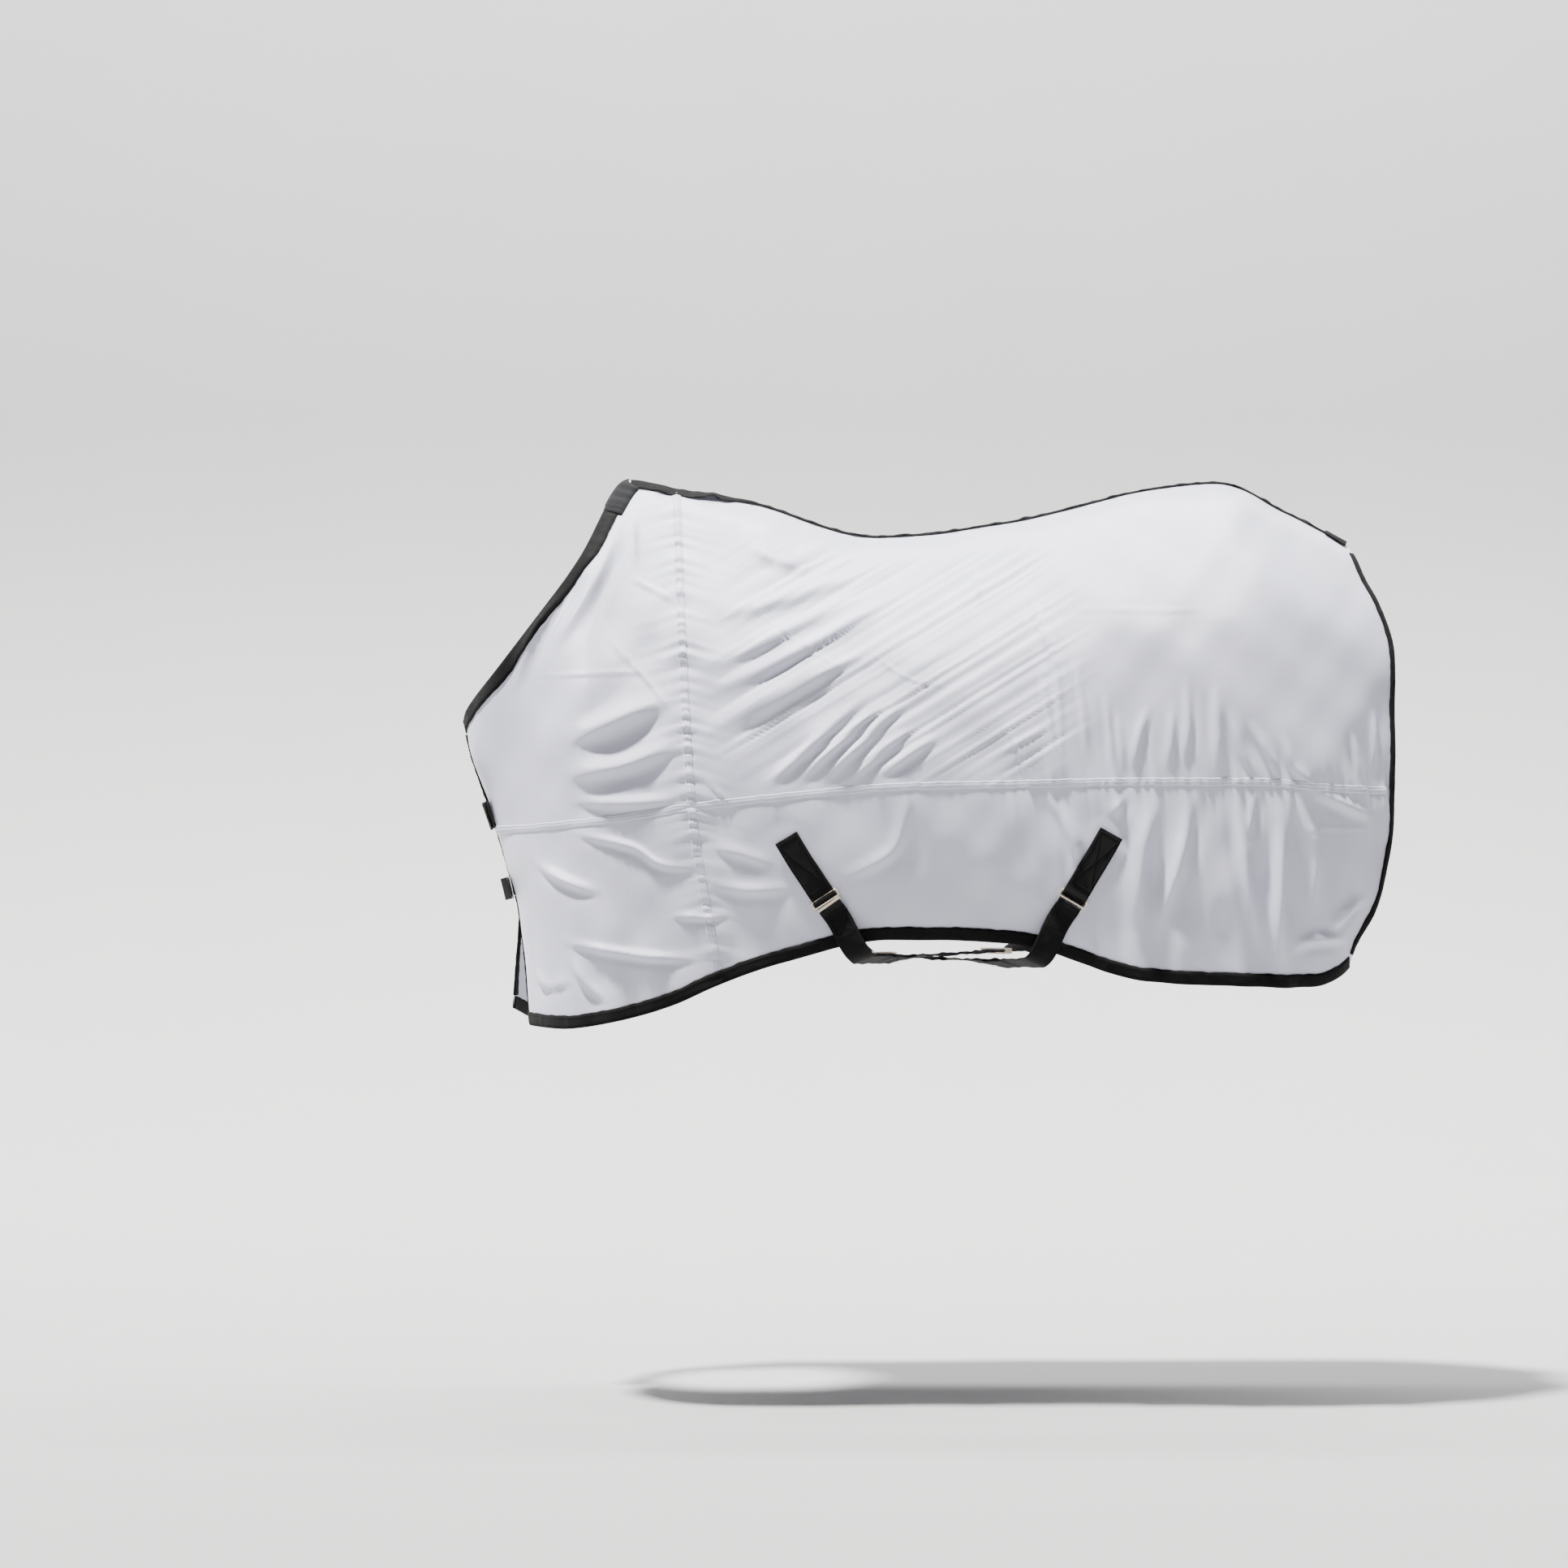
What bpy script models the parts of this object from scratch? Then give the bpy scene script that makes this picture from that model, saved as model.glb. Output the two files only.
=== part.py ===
"""Fly sheet for a horse: a light cloth rug with bound edges, a chest closure and crossed belly surcingles.

Frame, in metres: +X runs from the neck to the tail, +Y to the off (right) side, +Z up. The origin is the
underside of the cloth on the withers, where the neck edge meets the spine.
"""

import math

import bpy
import bmesh
import numpy as np
from mathutils import Matrix, Vector

# ---------------------------------------------------------------- driving dimensions
BACK_LENGTH = 1.177  # withers to dock, along X
HALF_WIDTH = 0.282  # centre line to the widest point of the barrel
DROP = 0.889  # withers to the lowest point of the hem

CLOTH = 0.0012  # thickness of the cloth
SEAM_WIDTH = 0.014  # felled seam, across
SEAM_HEIGHT = 0.0012
SPINE_TAPE_WIDTH = 0.028  # laid over the spine, both sides together
TAPE = 0.0012  # thickness of tape and binding
HEM_BINDING = 0.020  # width of cloth that each binding covers
REAR_BINDING = 0.010
NECK_BINDING = 0.025
FRONT_BINDING = 0.014
PAD_WIDTH = 0.030  # withers pad, from the neck edge towards the tail
PAD_LENGTH = 0.070  # withers pad, from the spine down each side
PAD_THICKNESS = 0.006
PAD_CROWN = 0.022  # rounded top of the withers pad, each side
DOCK_PATCH = 0.036  # side of the small stay at the dock

WEB_WIDTH = 0.040  # surcingle webbing
WEB = 0.0022  # thickness of webbing
PATCH_LENGTH = 0.112  # sewn surcingle patch
CHEST_WEB_WIDTH = 0.044
CHEST_BASE_LENGTH = 0.034
TAB_OVERLAP = 0.020  # chest tab over its sewn base
TAB_FLAT = 0.003  # half of the tab's flat middle, on the centre line
LANDING_INSET = 0.006  # landing patch, behind the front binding
TAB_ROOT = 0.028  # from the front edge to the fold that the chest tab swings on
TAB_REACH = 0.058  # how far the chest tab passes the centre line
RING_HEIGHT = 0.014  # rectangular ring, outside
RING_EXTRA_WIDTH = 0.009  # ring, wider than the webbing
RING_WIRE = 0.0034
HOOK_HEIGHT = 0.012
HOOK_THICKNESS = 0.0026
HOOK_STEM = 0.024  # width of the hook's stem
HOOK_OVERHANG = 0.001  # hook's head past the webbing, each side
ADJUSTER_LENGTH = 0.024
ADJUSTER_WALL = 0.0026
ADJUSTER_PLACE = 0.045  # from the start of the belly strap
CLIP_HALF_LENGTH = 0.030  # each half of the chest clip, along the strap
CLIP_HEIGHT = 0.036
CLIP_THICKNESS = 0.0110
CLIP_STRAP_WIDTH = 0.029
CLIP_WALL = 0.0035  # above and below the clip's socket
CLIP_SKIN = 0.0015  # in front of and behind the clip's socket
CLIP_FINS = 5
FIN_DEPTH = 0.00165
FIN_LENGTH = 0.021
FIN_GAP = 0.0029
FIN_SHIFT = 0.00375  # middle of the fins, from the middle of their half towards the strap
PRONG_LENGTH = 0.014
PRONG_ROOT = 0.004  # prong inside its own half
PRONG_WIDTH = 0.0045
PRONG_THICKNESS = 0.0024
PRONG_INSET = 0.012  # prong, from the clip's top or bottom
PRONG_DROP = 0.0011  # prongs sit this far towards the cloth

# ---------------------------------------------------------------- clearances
GAP = 0.0006  # between touching pieces
SEAM_CLEARANCE = 0.0008  # seam strip and tape over the cloth
BINDING_CLEARANCE = 0.0024  # inside a folded binding
WEB_CLEARANCE = 0.0016  # flat webbing over the curved cloth
EDGE_GAP = 0.0012  # cloth edge to the centre line, at the spine
FRONT_GAP = 0.0042  # cloth edge to the centre line, at the chest
FOLD_GAP = 0.0026  # between a chest flap and the shoulder
LINK_GAP = 0.0034  # between two links of a strap
CROSSING_GAP = 0.0065  # between the two surcingles where they cross
RUNNING_GAP = 0.0009  # adjuster on its strap
PRONG_GAP = 0.0036  # room in the clip's socket for the prongs to tilt

# ---------------------------------------------------------------- the draped shape
# Each station is a line down the near side, from the neck edge or spine to the hem, with six points:
# top, upper flank, flank, side seam, lower flank, hem. The off side mirrors it.
FOLD_TOP = (-0.196, -0.125, -0.297)  # straight line that the chest flap folds on
FOLD_FOOT = (-0.103, -0.200, -0.889)
FOLD_STEPS = (0.0, 0.13, 0.28, 0.46, 0.69, 1.0)
CHEST = [(-0.271, 0, -0.395), (-0.260, 0, -0.444), (-0.241, 0, -0.504),
         (-0.215, 0, -0.576), (-0.180, 0, -0.704), (-0.158, -0.050, -0.889)]
BREAST = [(-0.257, -0.050, -0.369), (-0.254, -0.055, -0.431), (-0.237, -0.060, -0.493),
          (-0.210, -0.060, -0.573), (-0.178, -0.060, -0.702), (-0.156, -0.105, -0.888)]
SHOULDER = [(-0.078, -0.135, -0.140), (-0.062, -0.190, -0.233), (-0.057, -0.238, -0.377),
            (-0.040, -0.251, -0.557), (-0.026, -0.252, -0.703), (-0.009, -0.255, -0.874)]
WITHERS = [(0, 0, 0), (0.030, -0.078, -0.072), (0.042, -0.202, -0.262),
           (0.050, -0.263, -0.544), (0.062, -0.263, -0.688), (0.077, -0.262, -0.849)]
SHOULDER_SEAM = [(0.077, 0, -0.015), (0.082, -0.085, -0.082), (0.092, -0.215, -0.271),
                 (0.108, -0.268, -0.535), (0.129, -0.268, -0.677), (0.154, -0.266, -0.815)]
GIRTH = [(0.207, 0, -0.037), (0.210, -0.090, -0.102), (0.221, -0.225, -0.284),
         (0.234, -0.272, -0.521), (0.244, -0.268, -0.652), (0.257, -0.258, -0.780)]
BACK = [(0.407, 0, -0.092), (0.405, -0.100, -0.146), (0.408, -0.235, -0.304),
        (0.414, -0.280, -0.504), (0.420, -0.272, -0.632), (0.427, -0.250, -0.745)]
LOIN = [(0.620, 0, -0.069), (0.615, -0.105, -0.125), (0.611, -0.240, -0.291),
        (0.613, -0.282, -0.499), (0.617, -0.275, -0.630), (0.620, -0.250, -0.752)]
HIP = [(0.833, 0, -0.019), (0.824, -0.115, -0.071), (0.814, -0.250, -0.240),
       (0.812, -0.282, -0.495), (0.809, -0.280, -0.651), (0.806, -0.270, -0.806)]
CROUP = [(0.964, 0, -0.004), (0.966, -0.110, -0.058), (0.975, -0.240, -0.230),
         (0.990, -0.273, -0.495), (0.987, -0.270, -0.657), (0.975, -0.262, -0.818)]
THIGH = [(1.080, 0, -0.053), (1.090, -0.080, -0.100), (1.110, -0.190, -0.255),
         (1.125, -0.235, -0.505), (1.120, -0.235, -0.670), (1.095, -0.225, -0.822)]
REAR = [(1.177, 0, -0.104), (1.198, -0.045, -0.153), (1.242, -0.100, -0.290),
        (1.238, -0.145, -0.510), (1.219, -0.160, -0.655), (1.160, -0.170, -0.792)]
OFF_CHEST_FOOT = (-0.190, -0.006, -0.866)  # the off front hangs forward below the clip
DRAWN_SIZE = (1.177, 0.282, 0.889)  # the sizes that the stations above were drawn at

# stations, counted from the chest, and rows, counted from the top
U_FOLD, U_WITHERS, U_SEAM, U_REAR = 2, 4, 5, 12
V_SEAM, V_HEM = 3, 5
CELLS_U = (2, 3, 4, 4, 2, 3, 4, 4, 4, 3, 3, 3)  # mesh cells between stations
CELLS_V = (3, 3, 3, 3, 2)  # mesh cells between rows

# surcingle patches on the near side, as (station, row) of the top and of a point that it leans towards
FRONT_PATCH = ((6.12, 3.45), (6.42, 4.27))
REAR_PATCH = ((8.80, 3.50), (8.50, 4.27))
BELLY_LEVEL = -0.779  # height of the surcingles under the belly
BELLY_TILT = (2, 6, 48, 86, 90, 90)  # degrees down one side: 0 faces out sideways and 90 faces down
BELLY_SHARES = (0.09, 0.30, 0.5)  # places of the flat points, from one hem to the other
HEM_DROP = 0.013  # surcingle below the hem where it turns under
HEM_STAND_OFF = 0.010
BELLY_FALL = (0.85, 1, 1, 1, 0.85)  # share of the crossing gap that each flat point hangs lower by
BELLY_STEPS = 4  # path steps between two knots of a surcingle
CHEST_TAB_ROW = 2.70
CHEST_CLIP_ROW = 3.75

SURFACE_STEP = 0.02  # in stations or rows, for directions along the surface
SHORT_STEP = 0.002  # path points nearer than this to a cut are left out
INWARD_GUESS = 0.15  # rows across a binding, as a first guess
LARGEST_MOVE = 0.4  # in stations or rows, in one step of a search

COLLECTION = "fly_sheet"
COLOURS = {
    "cloth": ((0.86, 0.87, 0.93, 1), 0.45, 0.0),
    "seam": ((0.80, 0.81, 0.88, 1), 0.55, 0.0),
    "tape": ((0.006, 0.005, 0.006, 1), 0.60, 0.0),
    "pad": ((0.016, 0.018, 0.022, 1), 0.90, 0.0),
    "webbing": ((0.004, 0.004, 0.005, 1), 0.70, 0.0),
    "plastic": ((0.008, 0.008, 0.008, 1), 0.35, 0.0),
    "metal": ((0.72, 0.62, 0.47, 1), 0.28, 1.0),
}


# ---------------------------------------------------------------- scene set-up and mesh helpers
def clear_scene():
    for thing in list(bpy.data.objects):
        bpy.data.objects.remove(thing, do_unlink=True)
    for group in list(bpy.data.collections):
        bpy.data.collections.remove(group)


def make_collection(name):
    group = bpy.data.collections.new(name)
    bpy.context.scene.collection.children.link(group)
    return group


def material_for(node, kind):
    colour, roughness, metallic = COLOURS[kind]
    made = bpy.data.materials.new(node)
    made.use_nodes = True
    shader = made.node_tree.nodes["Principled BSDF"]
    shader.inputs["Base Color"].default_value = colour
    shader.inputs["Roughness"].default_value = roughness
    shader.inputs["Metallic"].default_value = metallic
    made.diffuse_color = colour
    return made


def unit(vector):
    vector = np.asarray(vector, dtype=float)
    return vector / np.linalg.norm(vector, axis=-1, keepdims=True)


def add_solid(name, points, faces, kind):
    """Makes one closed object from points and faces, with its faces pointing out."""
    mesh = bpy.data.meshes.new(name)
    mesh.from_pydata([tuple(p) for p in points], [], faces)
    shape = bmesh.new()
    shape.from_mesh(mesh)
    bmesh.ops.recalc_face_normals(shape, faces=shape.faces)
    shape.to_mesh(mesh)
    shape.free()
    mesh.materials.append(material_for(name, kind))
    made = bpy.data.objects.new(name, mesh)
    parts.objects.link(made)
    return made


def hang_on(name, origin, axis, children):
    """Parents the pieces of one moving body to an empty on its joint's axis, with its own Z along the axis."""
    place = Matrix.Translation(Vector(origin)) @ Vector(axis).to_track_quat("Z", "Y").to_matrix().to_4x4()
    joint = bpy.data.objects.new(name, None)
    joint.matrix_world = place
    joint.empty_display_size = 0.03
    parts.objects.link(joint)
    for child in children:
        child.parent = joint
        child.matrix_parent_inverse = place.inverted()


def loft(name, sections, faces_of_cap, kind):
    """Joins equal closed sections, given as an array (stations, corners, 3), and caps both ends."""
    count, corners = sections.shape[:2]
    faces = []
    for i in range(count - 1):
        for j in range(corners):
            k = (j + 1) % corners
            faces.append((i * corners + j, i * corners + k, (i + 1) * corners + k, (i + 1) * corners + j))
    last = (count - 1) * corners
    for cap in faces_of_cap:
        faces.append(tuple(cap))
        faces.append(tuple(last + j for j in reversed(cap)))
    return add_solid(name, sections.reshape(-1, 3), faces, kind)


def slab(name, low, high, kind):
    """Closed slab between two point grids of the same shape, split along the same diagonals."""
    rows, columns = low.shape[:2]
    points = np.vstack([low.reshape(-1, 3), high.reshape(-1, 3)])
    top = rows * columns
    faces = []
    for i in range(rows - 1):
        for j in range(columns - 1):
            a, b = i * columns + j, (i + 1) * columns + j
            c, d = b + 1, a + 1
            short = np.linalg.norm(points[a] - points[c]) < np.linalg.norm(points[b] - points[d]) - GAP
            for triangle in ((a, b, c), (a, c, d)) if short else ((a, b, d), (b, c, d)):
                faces.append(triangle)
                faces.append(tuple(top + k for k in reversed(triangle)))
    rim = [j for j in range(columns)]
    rim += [i * columns + columns - 1 for i in range(1, rows)]
    rim += [(rows - 1) * columns + j for j in range(columns - 2, -1, -1)]
    rim += [i * columns for i in range(rows - 2, 0, -1)]
    for a, b in zip(rim, rim[1:] + rim[:1]):
        faces.append((a, b, top + b, top + a))
    return add_solid(name, points, faces, kind)


def cut_path(path, start, end):
    """Cuts start and end, in metres, off a path whose rows hold the point first and other vectors after it."""
    path = np.asarray(path)
    length = np.concatenate([[0], np.cumsum(np.linalg.norm(np.diff(path[:, 0], axis=0), axis=1))])
    first, last = start, length[-1] - end
    inner = path[(length > first + SHORT_STEP) & (length < last - SHORT_STEP)]

    def at(distance):
        i = int(np.clip(np.searchsorted(length, distance) - 1, 0, len(length) - 2))
        share = (distance - length[i]) / (length[i + 1] - length[i])
        return path[i] + (path[i + 1] - path[i]) * share

    return np.concatenate([[at(first)], inner, [at(last)]])


# ---------------------------------------------------------------- the draped surface
def slopes(values):
    """Tangents of a smooth curve through the values, limited so that it never overshoots them."""
    step = np.diff(values, axis=0)
    before, after = step[:-1], step[1:]
    limit = 3 * np.minimum(abs(before), abs(after))
    inner = np.clip((before + after) / 2, -limit, limit)
    inner[before * after <= 0] = 0
    return np.concatenate([step[:1], inner, step[-1:]])


def along(values, t):
    """The point at t on a smooth curve that passes values[0] at 0, values[1] at 1 and so on."""
    tangent = slopes(values)
    i = min(int(t), len(values) - 2)
    f = t - i
    return (
        (2 * f**3 - 3 * f**2 + 1) * values[i]
        + (f**3 - 2 * f**2 + f) * tangent[i]
        + (3 * f**2 - 2 * f**3) * values[i + 1]
        + (f**3 - f**2) * tangent[i + 1]
    )


def make_cage(side):
    top, foot = np.array(FOLD_TOP), np.array(FOLD_FOOT)
    fold = [tuple(top + (foot - top) * step) for step in FOLD_STEPS]
    chest = CHEST if side == "near" else CHEST[:5] + [OFF_CHEST_FOOT]
    cage = np.array([chest, BREAST, fold, SHOULDER, WITHERS, SHOULDER_SEAM, GIRTH, BACK, LOIN, HIP, CROUP,
                     THIGH, REAR], dtype=float)
    cage *= np.array([BACK_LENGTH, HALF_WIDTH, DROP]) / np.array(DRAWN_SIZE)
    cage[0, :, 1] = np.minimum(cage[0, :, 1], -FRONT_GAP)
    cage[U_WITHERS:, 0, 1] = -EDGE_GAP
    return cage


def on_cage(cage, u, v):
    return along(np.array([along(cage[:, row], u) for row in range(cage.shape[1])]), v)


def knots(cells):
    values = []
    for i, count in enumerate(cells):
        values += [i + k / count for k in range(count)]
    return np.array(values + [len(cells)])


U_KNOTS = knots(CELLS_U)
V_KNOTS = knots(CELLS_V)


def index_of(values, wanted):
    return int(np.argmin(abs(values - wanted)))


def build_side(side):
    """Lattice points and outward normals of one side of the sheet."""
    cage = make_cage(side)
    points = np.array([[on_cage(cage, u, v) for v in V_KNOTS] for u in U_KNOTS])
    step = SURFACE_STEP
    normals = np.zeros_like(points)
    for i, u in enumerate(U_KNOTS):
        for j, v in enumerate(V_KNOTS):
            u0, u1 = max(u - step, 0), min(u + step, U_REAR)
            v0, v1 = max(v - step, 0), min(v + step, V_HEM)
            du = on_cage(cage, u1, v) - on_cage(cage, u0, v)
            dv = on_cage(cage, u, v1) - on_cage(cage, u, v0)
            normals[i, j] = unit(np.cross(dv, du))
    if side == "off":
        points[..., 1] *= -1
        normals[..., 1] *= -1
    return {"side": side, "points": points, "normals": normals}


def surface_frame(half, u, v):
    """Point and normal on the mesh lattice, between its knots."""
    i = int(np.clip(np.searchsorted(U_KNOTS, u, side="right") - 1, 0, len(U_KNOTS) - 2))
    j = int(np.clip(np.searchsorted(V_KNOTS, v, side="right") - 1, 0, len(V_KNOTS) - 2))
    f = (u - U_KNOTS[i]) / (U_KNOTS[i + 1] - U_KNOTS[i])
    g = (v - V_KNOTS[j]) / (V_KNOTS[j + 1] - V_KNOTS[j])
    found = []
    for grid in (half["points"], half["normals"]):
        left = grid[i, j] * (1 - g) + grid[i, j + 1] * g
        right = grid[i + 1, j] * (1 - g) + grid[i + 1, j + 1] * g
        found.append(left * (1 - f) + right * f)
    return found[0], unit(found[1])


def panel(half, name, u_range, v_range, trims):
    """Cloth panel between two stations and two rows; trims are cut off its first and last edges."""
    rows = slice(index_of(U_KNOTS, u_range[0]), index_of(U_KNOTS, u_range[1]) + 1)
    columns = slice(index_of(V_KNOTS, v_range[0]), index_of(V_KNOTS, v_range[1]) + 1)
    points = half["points"][rows, columns].copy()
    normals = half["normals"][rows, columns]
    u_first, u_last, v_first, v_last = trims
    points[0] += unit(points[1] - points[0]) * u_first
    points[-1] += unit(points[-2] - points[-1]) * u_last
    points[:, 0] += unit(points[:, 1] - points[:, 0]) * v_first
    points[:, -1] += unit(points[:, -2] - points[:, -1]) * v_last
    return slab(f"{half['side']}_{name}", points, points + normals * CLOTH, "cloth")


def strip_over(name, path, kind, width, low, high):
    """Strip laid over a line: each path row holds a point, two side directions and three normals."""
    sections = []
    for point, left, right, n_left, n_mid, n_right in path:
        base = [point + left * width / 2, point, point + right * width / 2]
        norms = [n_left, n_mid, n_right]
        lower = [b + n * low for b, n in zip(base, norms)]
        upper = [b + n * high for b, n in zip(base, norms)]
        sections.append(lower + upper[::-1])
    return loft(name, np.array(sections), [(0, 1, 4, 5), (1, 2, 3, 4)], kind)


def line_of(half, axis, index, span):
    """Path rows along a lattice line, for strip_over: axis 0 keeps the station, axis 1 keeps the row."""
    points, normals = half["points"], half["normals"]
    if axis == 1:
        points, normals = points.transpose(1, 0, 2), normals.transpose(1, 0, 2)
    rows = []
    for k in range(span[0], span[1] + 1):
        here = points[index, k]
        left = unit(points[index - 1, k] - here)
        right = unit(points[index + 1, k] - here)
        normal = normals[index, k]
        rows.append((here, left, right, normal, normal, normal))
    return np.array(rows)


def nearest_on_surface(half, target, u, v):
    """Surface frame nearest to a target point, searched from a first guess."""
    step = SURFACE_STEP / 2
    for _ in range(8):
        here = surface_frame(half, u, v)[0]
        du = (surface_frame(half, u + step, v)[0] - surface_frame(half, u - step, v)[0]) / (2 * step)
        dv = (surface_frame(half, u, v + step)[0] - surface_frame(half, u, v - step)[0]) / (2 * step)
        move = np.linalg.lstsq(np.stack([du, dv], axis=1), target - here, rcond=None)[0]
        u, v = np.array([u, v]) + np.clip(move, -LARGEST_MOVE, LARGEST_MOVE)
    return surface_frame(half, u, v)


def edge_of(half, start, end, inside, width, steps=1):
    """Path rows along a cloth edge, for binding: points and normals at the edge, half way in and at the width."""
    places = []
    values = U_KNOTS if start[0] != end[0] else V_KNOTS
    axis = 0 if start[0] != end[0] else 1
    stops = values[(values >= start[axis]) & (values <= end[axis])]
    for a, b in zip(stops, stops[1:]):
        places += [a + (b - a) * k / steps for k in range(steps)]
    places.append(stops[-1])
    rows = []
    for place in places:
        uv = np.array(start, dtype=float)
        uv[axis] = place
        here, normal = surface_frame(half, *uv)
        along_edge = np.eye(2)[axis] * SURFACE_STEP
        ahead = (surface_frame(half, *np.minimum(uv + along_edge, (U_REAR, V_HEM)))[0]
                 - surface_frame(half, *np.maximum(uv - along_edge, 0))[0])
        into = unit(np.cross(normal, ahead))
        into = into * np.sign(into.dot(surface_frame(half, *(uv + np.array(inside) * INWARD_GUESS))[0] - here))
        frames = [(here, normal)]
        for share in (0.5, 1.0):
            guess = uv + np.array(inside) * INWARD_GUESS * share
            frames.append(nearest_on_surface(half, here + into * width * share, *guess))
        rows.append([f[0] for f in frames] + [f[1] for f in frames])
    return np.array(rows)


def binding(name, path, thickness, kind):
    """Tape folded over a cloth edge, as a U section along the path."""
    low, high = -BINDING_CLEARANCE, CLOTH + BINDING_CLEARANCE
    sections = []
    for edge, middle, inner, n_edge, n_middle, n_inner in path:
        out = unit(edge - middle)
        fold, rim = edge + out * GAP, edge + out * (GAP + thickness)
        corners = [inner + n_inner * (low - thickness), inner + n_inner * low, middle + n_middle * low,
                   fold + n_edge * low, fold + n_edge * high, middle + n_middle * high,
                   inner + n_inner * high, inner + n_inner * (high + thickness),
                   middle + n_middle * (high + thickness), rim + n_edge * (high + thickness),
                   rim + n_edge * (low - thickness), middle + n_middle * (low - thickness)]
        sections.append(corners)
    caps = [(0, 1, 2, 11), (2, 3, 10, 11), (3, 4, 9, 10), (4, 5, 8, 9), (5, 6, 7, 8)]
    return loft(name, np.array(sections), caps, kind)


def band(name, path, width, low, high, kind):
    """Flat webbing along a path whose rows hold a centre point, the width direction and the outer normal."""
    sections = []
    for point, across, normal in path:
        half_width = across * width / 2
        sections.append([point - half_width + normal * low, point + half_width + normal * low,
                         point + half_width + normal * high, point - half_width + normal * high])
    return loft(name, np.array(sections), [(0, 1, 2, 3)], kind)


# ---------------------------------------------------------------- cloth, seams and bindings
def make_panels(half):
    cut, fold = GAP / 2, FOLD_GAP / 2
    panel(half, "chest_upper", (0, U_FOLD), (0, V_SEAM), (0, fold, 0, cut))
    panel(half, "chest_lower", (0, U_FOLD), (V_SEAM, V_HEM), (0, fold, cut, 0))
    panel(half, "shoulder_upper", (U_FOLD, U_SEAM), (0, V_SEAM), (fold, cut, 0, cut))
    panel(half, "shoulder_lower", (U_FOLD, U_SEAM), (V_SEAM, V_HEM), (fold, cut, cut, 0))
    panel(half, "body_upper", (U_SEAM, U_REAR), (0, V_SEAM), (cut, 0, 0, cut))
    panel(half, "body_lower", (U_SEAM, U_REAR), (V_SEAM, V_HEM), (cut, 0, cut, 0))


def make_seams(half):
    side = half["side"]
    low = CLOTH + SEAM_CLEARANCE
    high = low + SEAM_HEIGHT
    fold, seam, rear = (index_of(U_KNOTS, u) for u in (U_FOLD, U_SEAM, U_REAR))
    row, hem = index_of(V_KNOTS, V_SEAM), index_of(V_KNOTS, V_HEM)
    beside = SEAM_WIDTH / 2 + GAP
    at_hem = HEM_BINDING + 2 * GAP
    down = cut_path(line_of(half, 0, seam, (0, hem)), SPINE_TAPE_WIDTH / 2 + 4 * GAP, at_hem)
    strip_over(f"{side}_shoulder_seam", down, "seam", SEAM_WIDTH, low, high)
    body = cut_path(line_of(half, 1, row, (seam, rear)), beside, REAR_BINDING + 2 * GAP)
    strip_over(f"{side}_body_side_seam", body, "seam", SEAM_WIDTH, low, high)
    shoulder = cut_path(line_of(half, 1, row, (fold, seam)), FOLD_GAP / 2, beside)
    strip_over(f"{side}_shoulder_side_seam", shoulder, "seam", SEAM_WIDTH, low, high)
    chest = cut_path(line_of(half, 1, row, (0, fold)), FRONT_BINDING + 2 * GAP, FOLD_GAP / 2)
    strip_over(f"{side}_chest_side_seam", chest, "seam", SEAM_WIDTH, low, high)


def reach_past_fold(half, path, width):
    """How far a binding that ends square to its edge at the fold line's top leans over that line."""
    fold = line_of(half, 0, index_of(U_KNOTS, U_FOLD), (0, 1))
    down = unit(fold[1][0] - fold[0][0])
    ahead = unit(path[-1][0] - path[-2][0])
    along = -ahead.dot(down)
    return width * max(along, 0) / math.sqrt(1 - along**2)


def make_bindings(half):
    side = half["side"]
    cut = FOLD_GAP / 2
    corner = 4 * GAP + TAPE
    down, up, back, forward = (0, 1), (0, -1), (1, 0), (-1, 0)
    neck = edge_of(half, (U_FOLD, 0), (U_WITHERS, 0), down, NECK_BINDING, 4)
    binding(f"{side}_neck_binding", cut_path(neck, cut, PAD_LENGTH + 2 * GAP), TAPE, "tape")
    chest_neck = edge_of(half, (0, 0), (U_FOLD, 0), down, NECK_BINDING, 4)
    clear_of_fold = cut + reach_past_fold(half, chest_neck, NECK_BINDING)
    binding(f"{side}_chest_neck_binding", cut_path(chest_neck, 0, clear_of_fold), TAPE, "tape")
    hem = edge_of(half, (U_FOLD, V_HEM), (U_REAR, V_HEM), up, HEM_BINDING)
    binding(f"{side}_hem_binding", cut_path(hem, cut, 0), TAPE, "tape")
    chest_hem = edge_of(half, (0, V_HEM), (U_FOLD, V_HEM), up, HEM_BINDING)
    binding(f"{side}_chest_hem_binding", cut_path(chest_hem, 0, cut), TAPE, "tape")
    front = edge_of(half, (0, 0), (0, V_HEM), back, FRONT_BINDING)
    binding(f"{side}_front_binding", cut_path(front, NECK_BINDING + corner, HEM_BINDING + corner), TAPE, "tape")
    rear = edge_of(half, (U_REAR, 0), (U_REAR, V_HEM), forward, REAR_BINDING)
    binding(f"{side}_rear_binding", cut_path(rear, DOCK_PATCH + corner, HEM_BINDING + corner), TAPE, "tape")


def mirrored(vector):
    return np.asarray(vector) * np.array([1, -1, 1])


def spine_rows(half, stations):
    """Path rows over the spine: near side direction, off side direction and their normals."""
    rows = []
    for i in stations:
        point, below, normal = half["points"][i, 0], half["points"][i, 1], half["normals"][i, 0]
        middle = np.array([point[0], 0, point[2]])
        left = unit(below - point)
        up = unit(normal * np.array([1, 0, 1]))
        rows.append((middle, left, mirrored(left), normal, up, mirrored(normal)))
    return np.array(rows)


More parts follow.
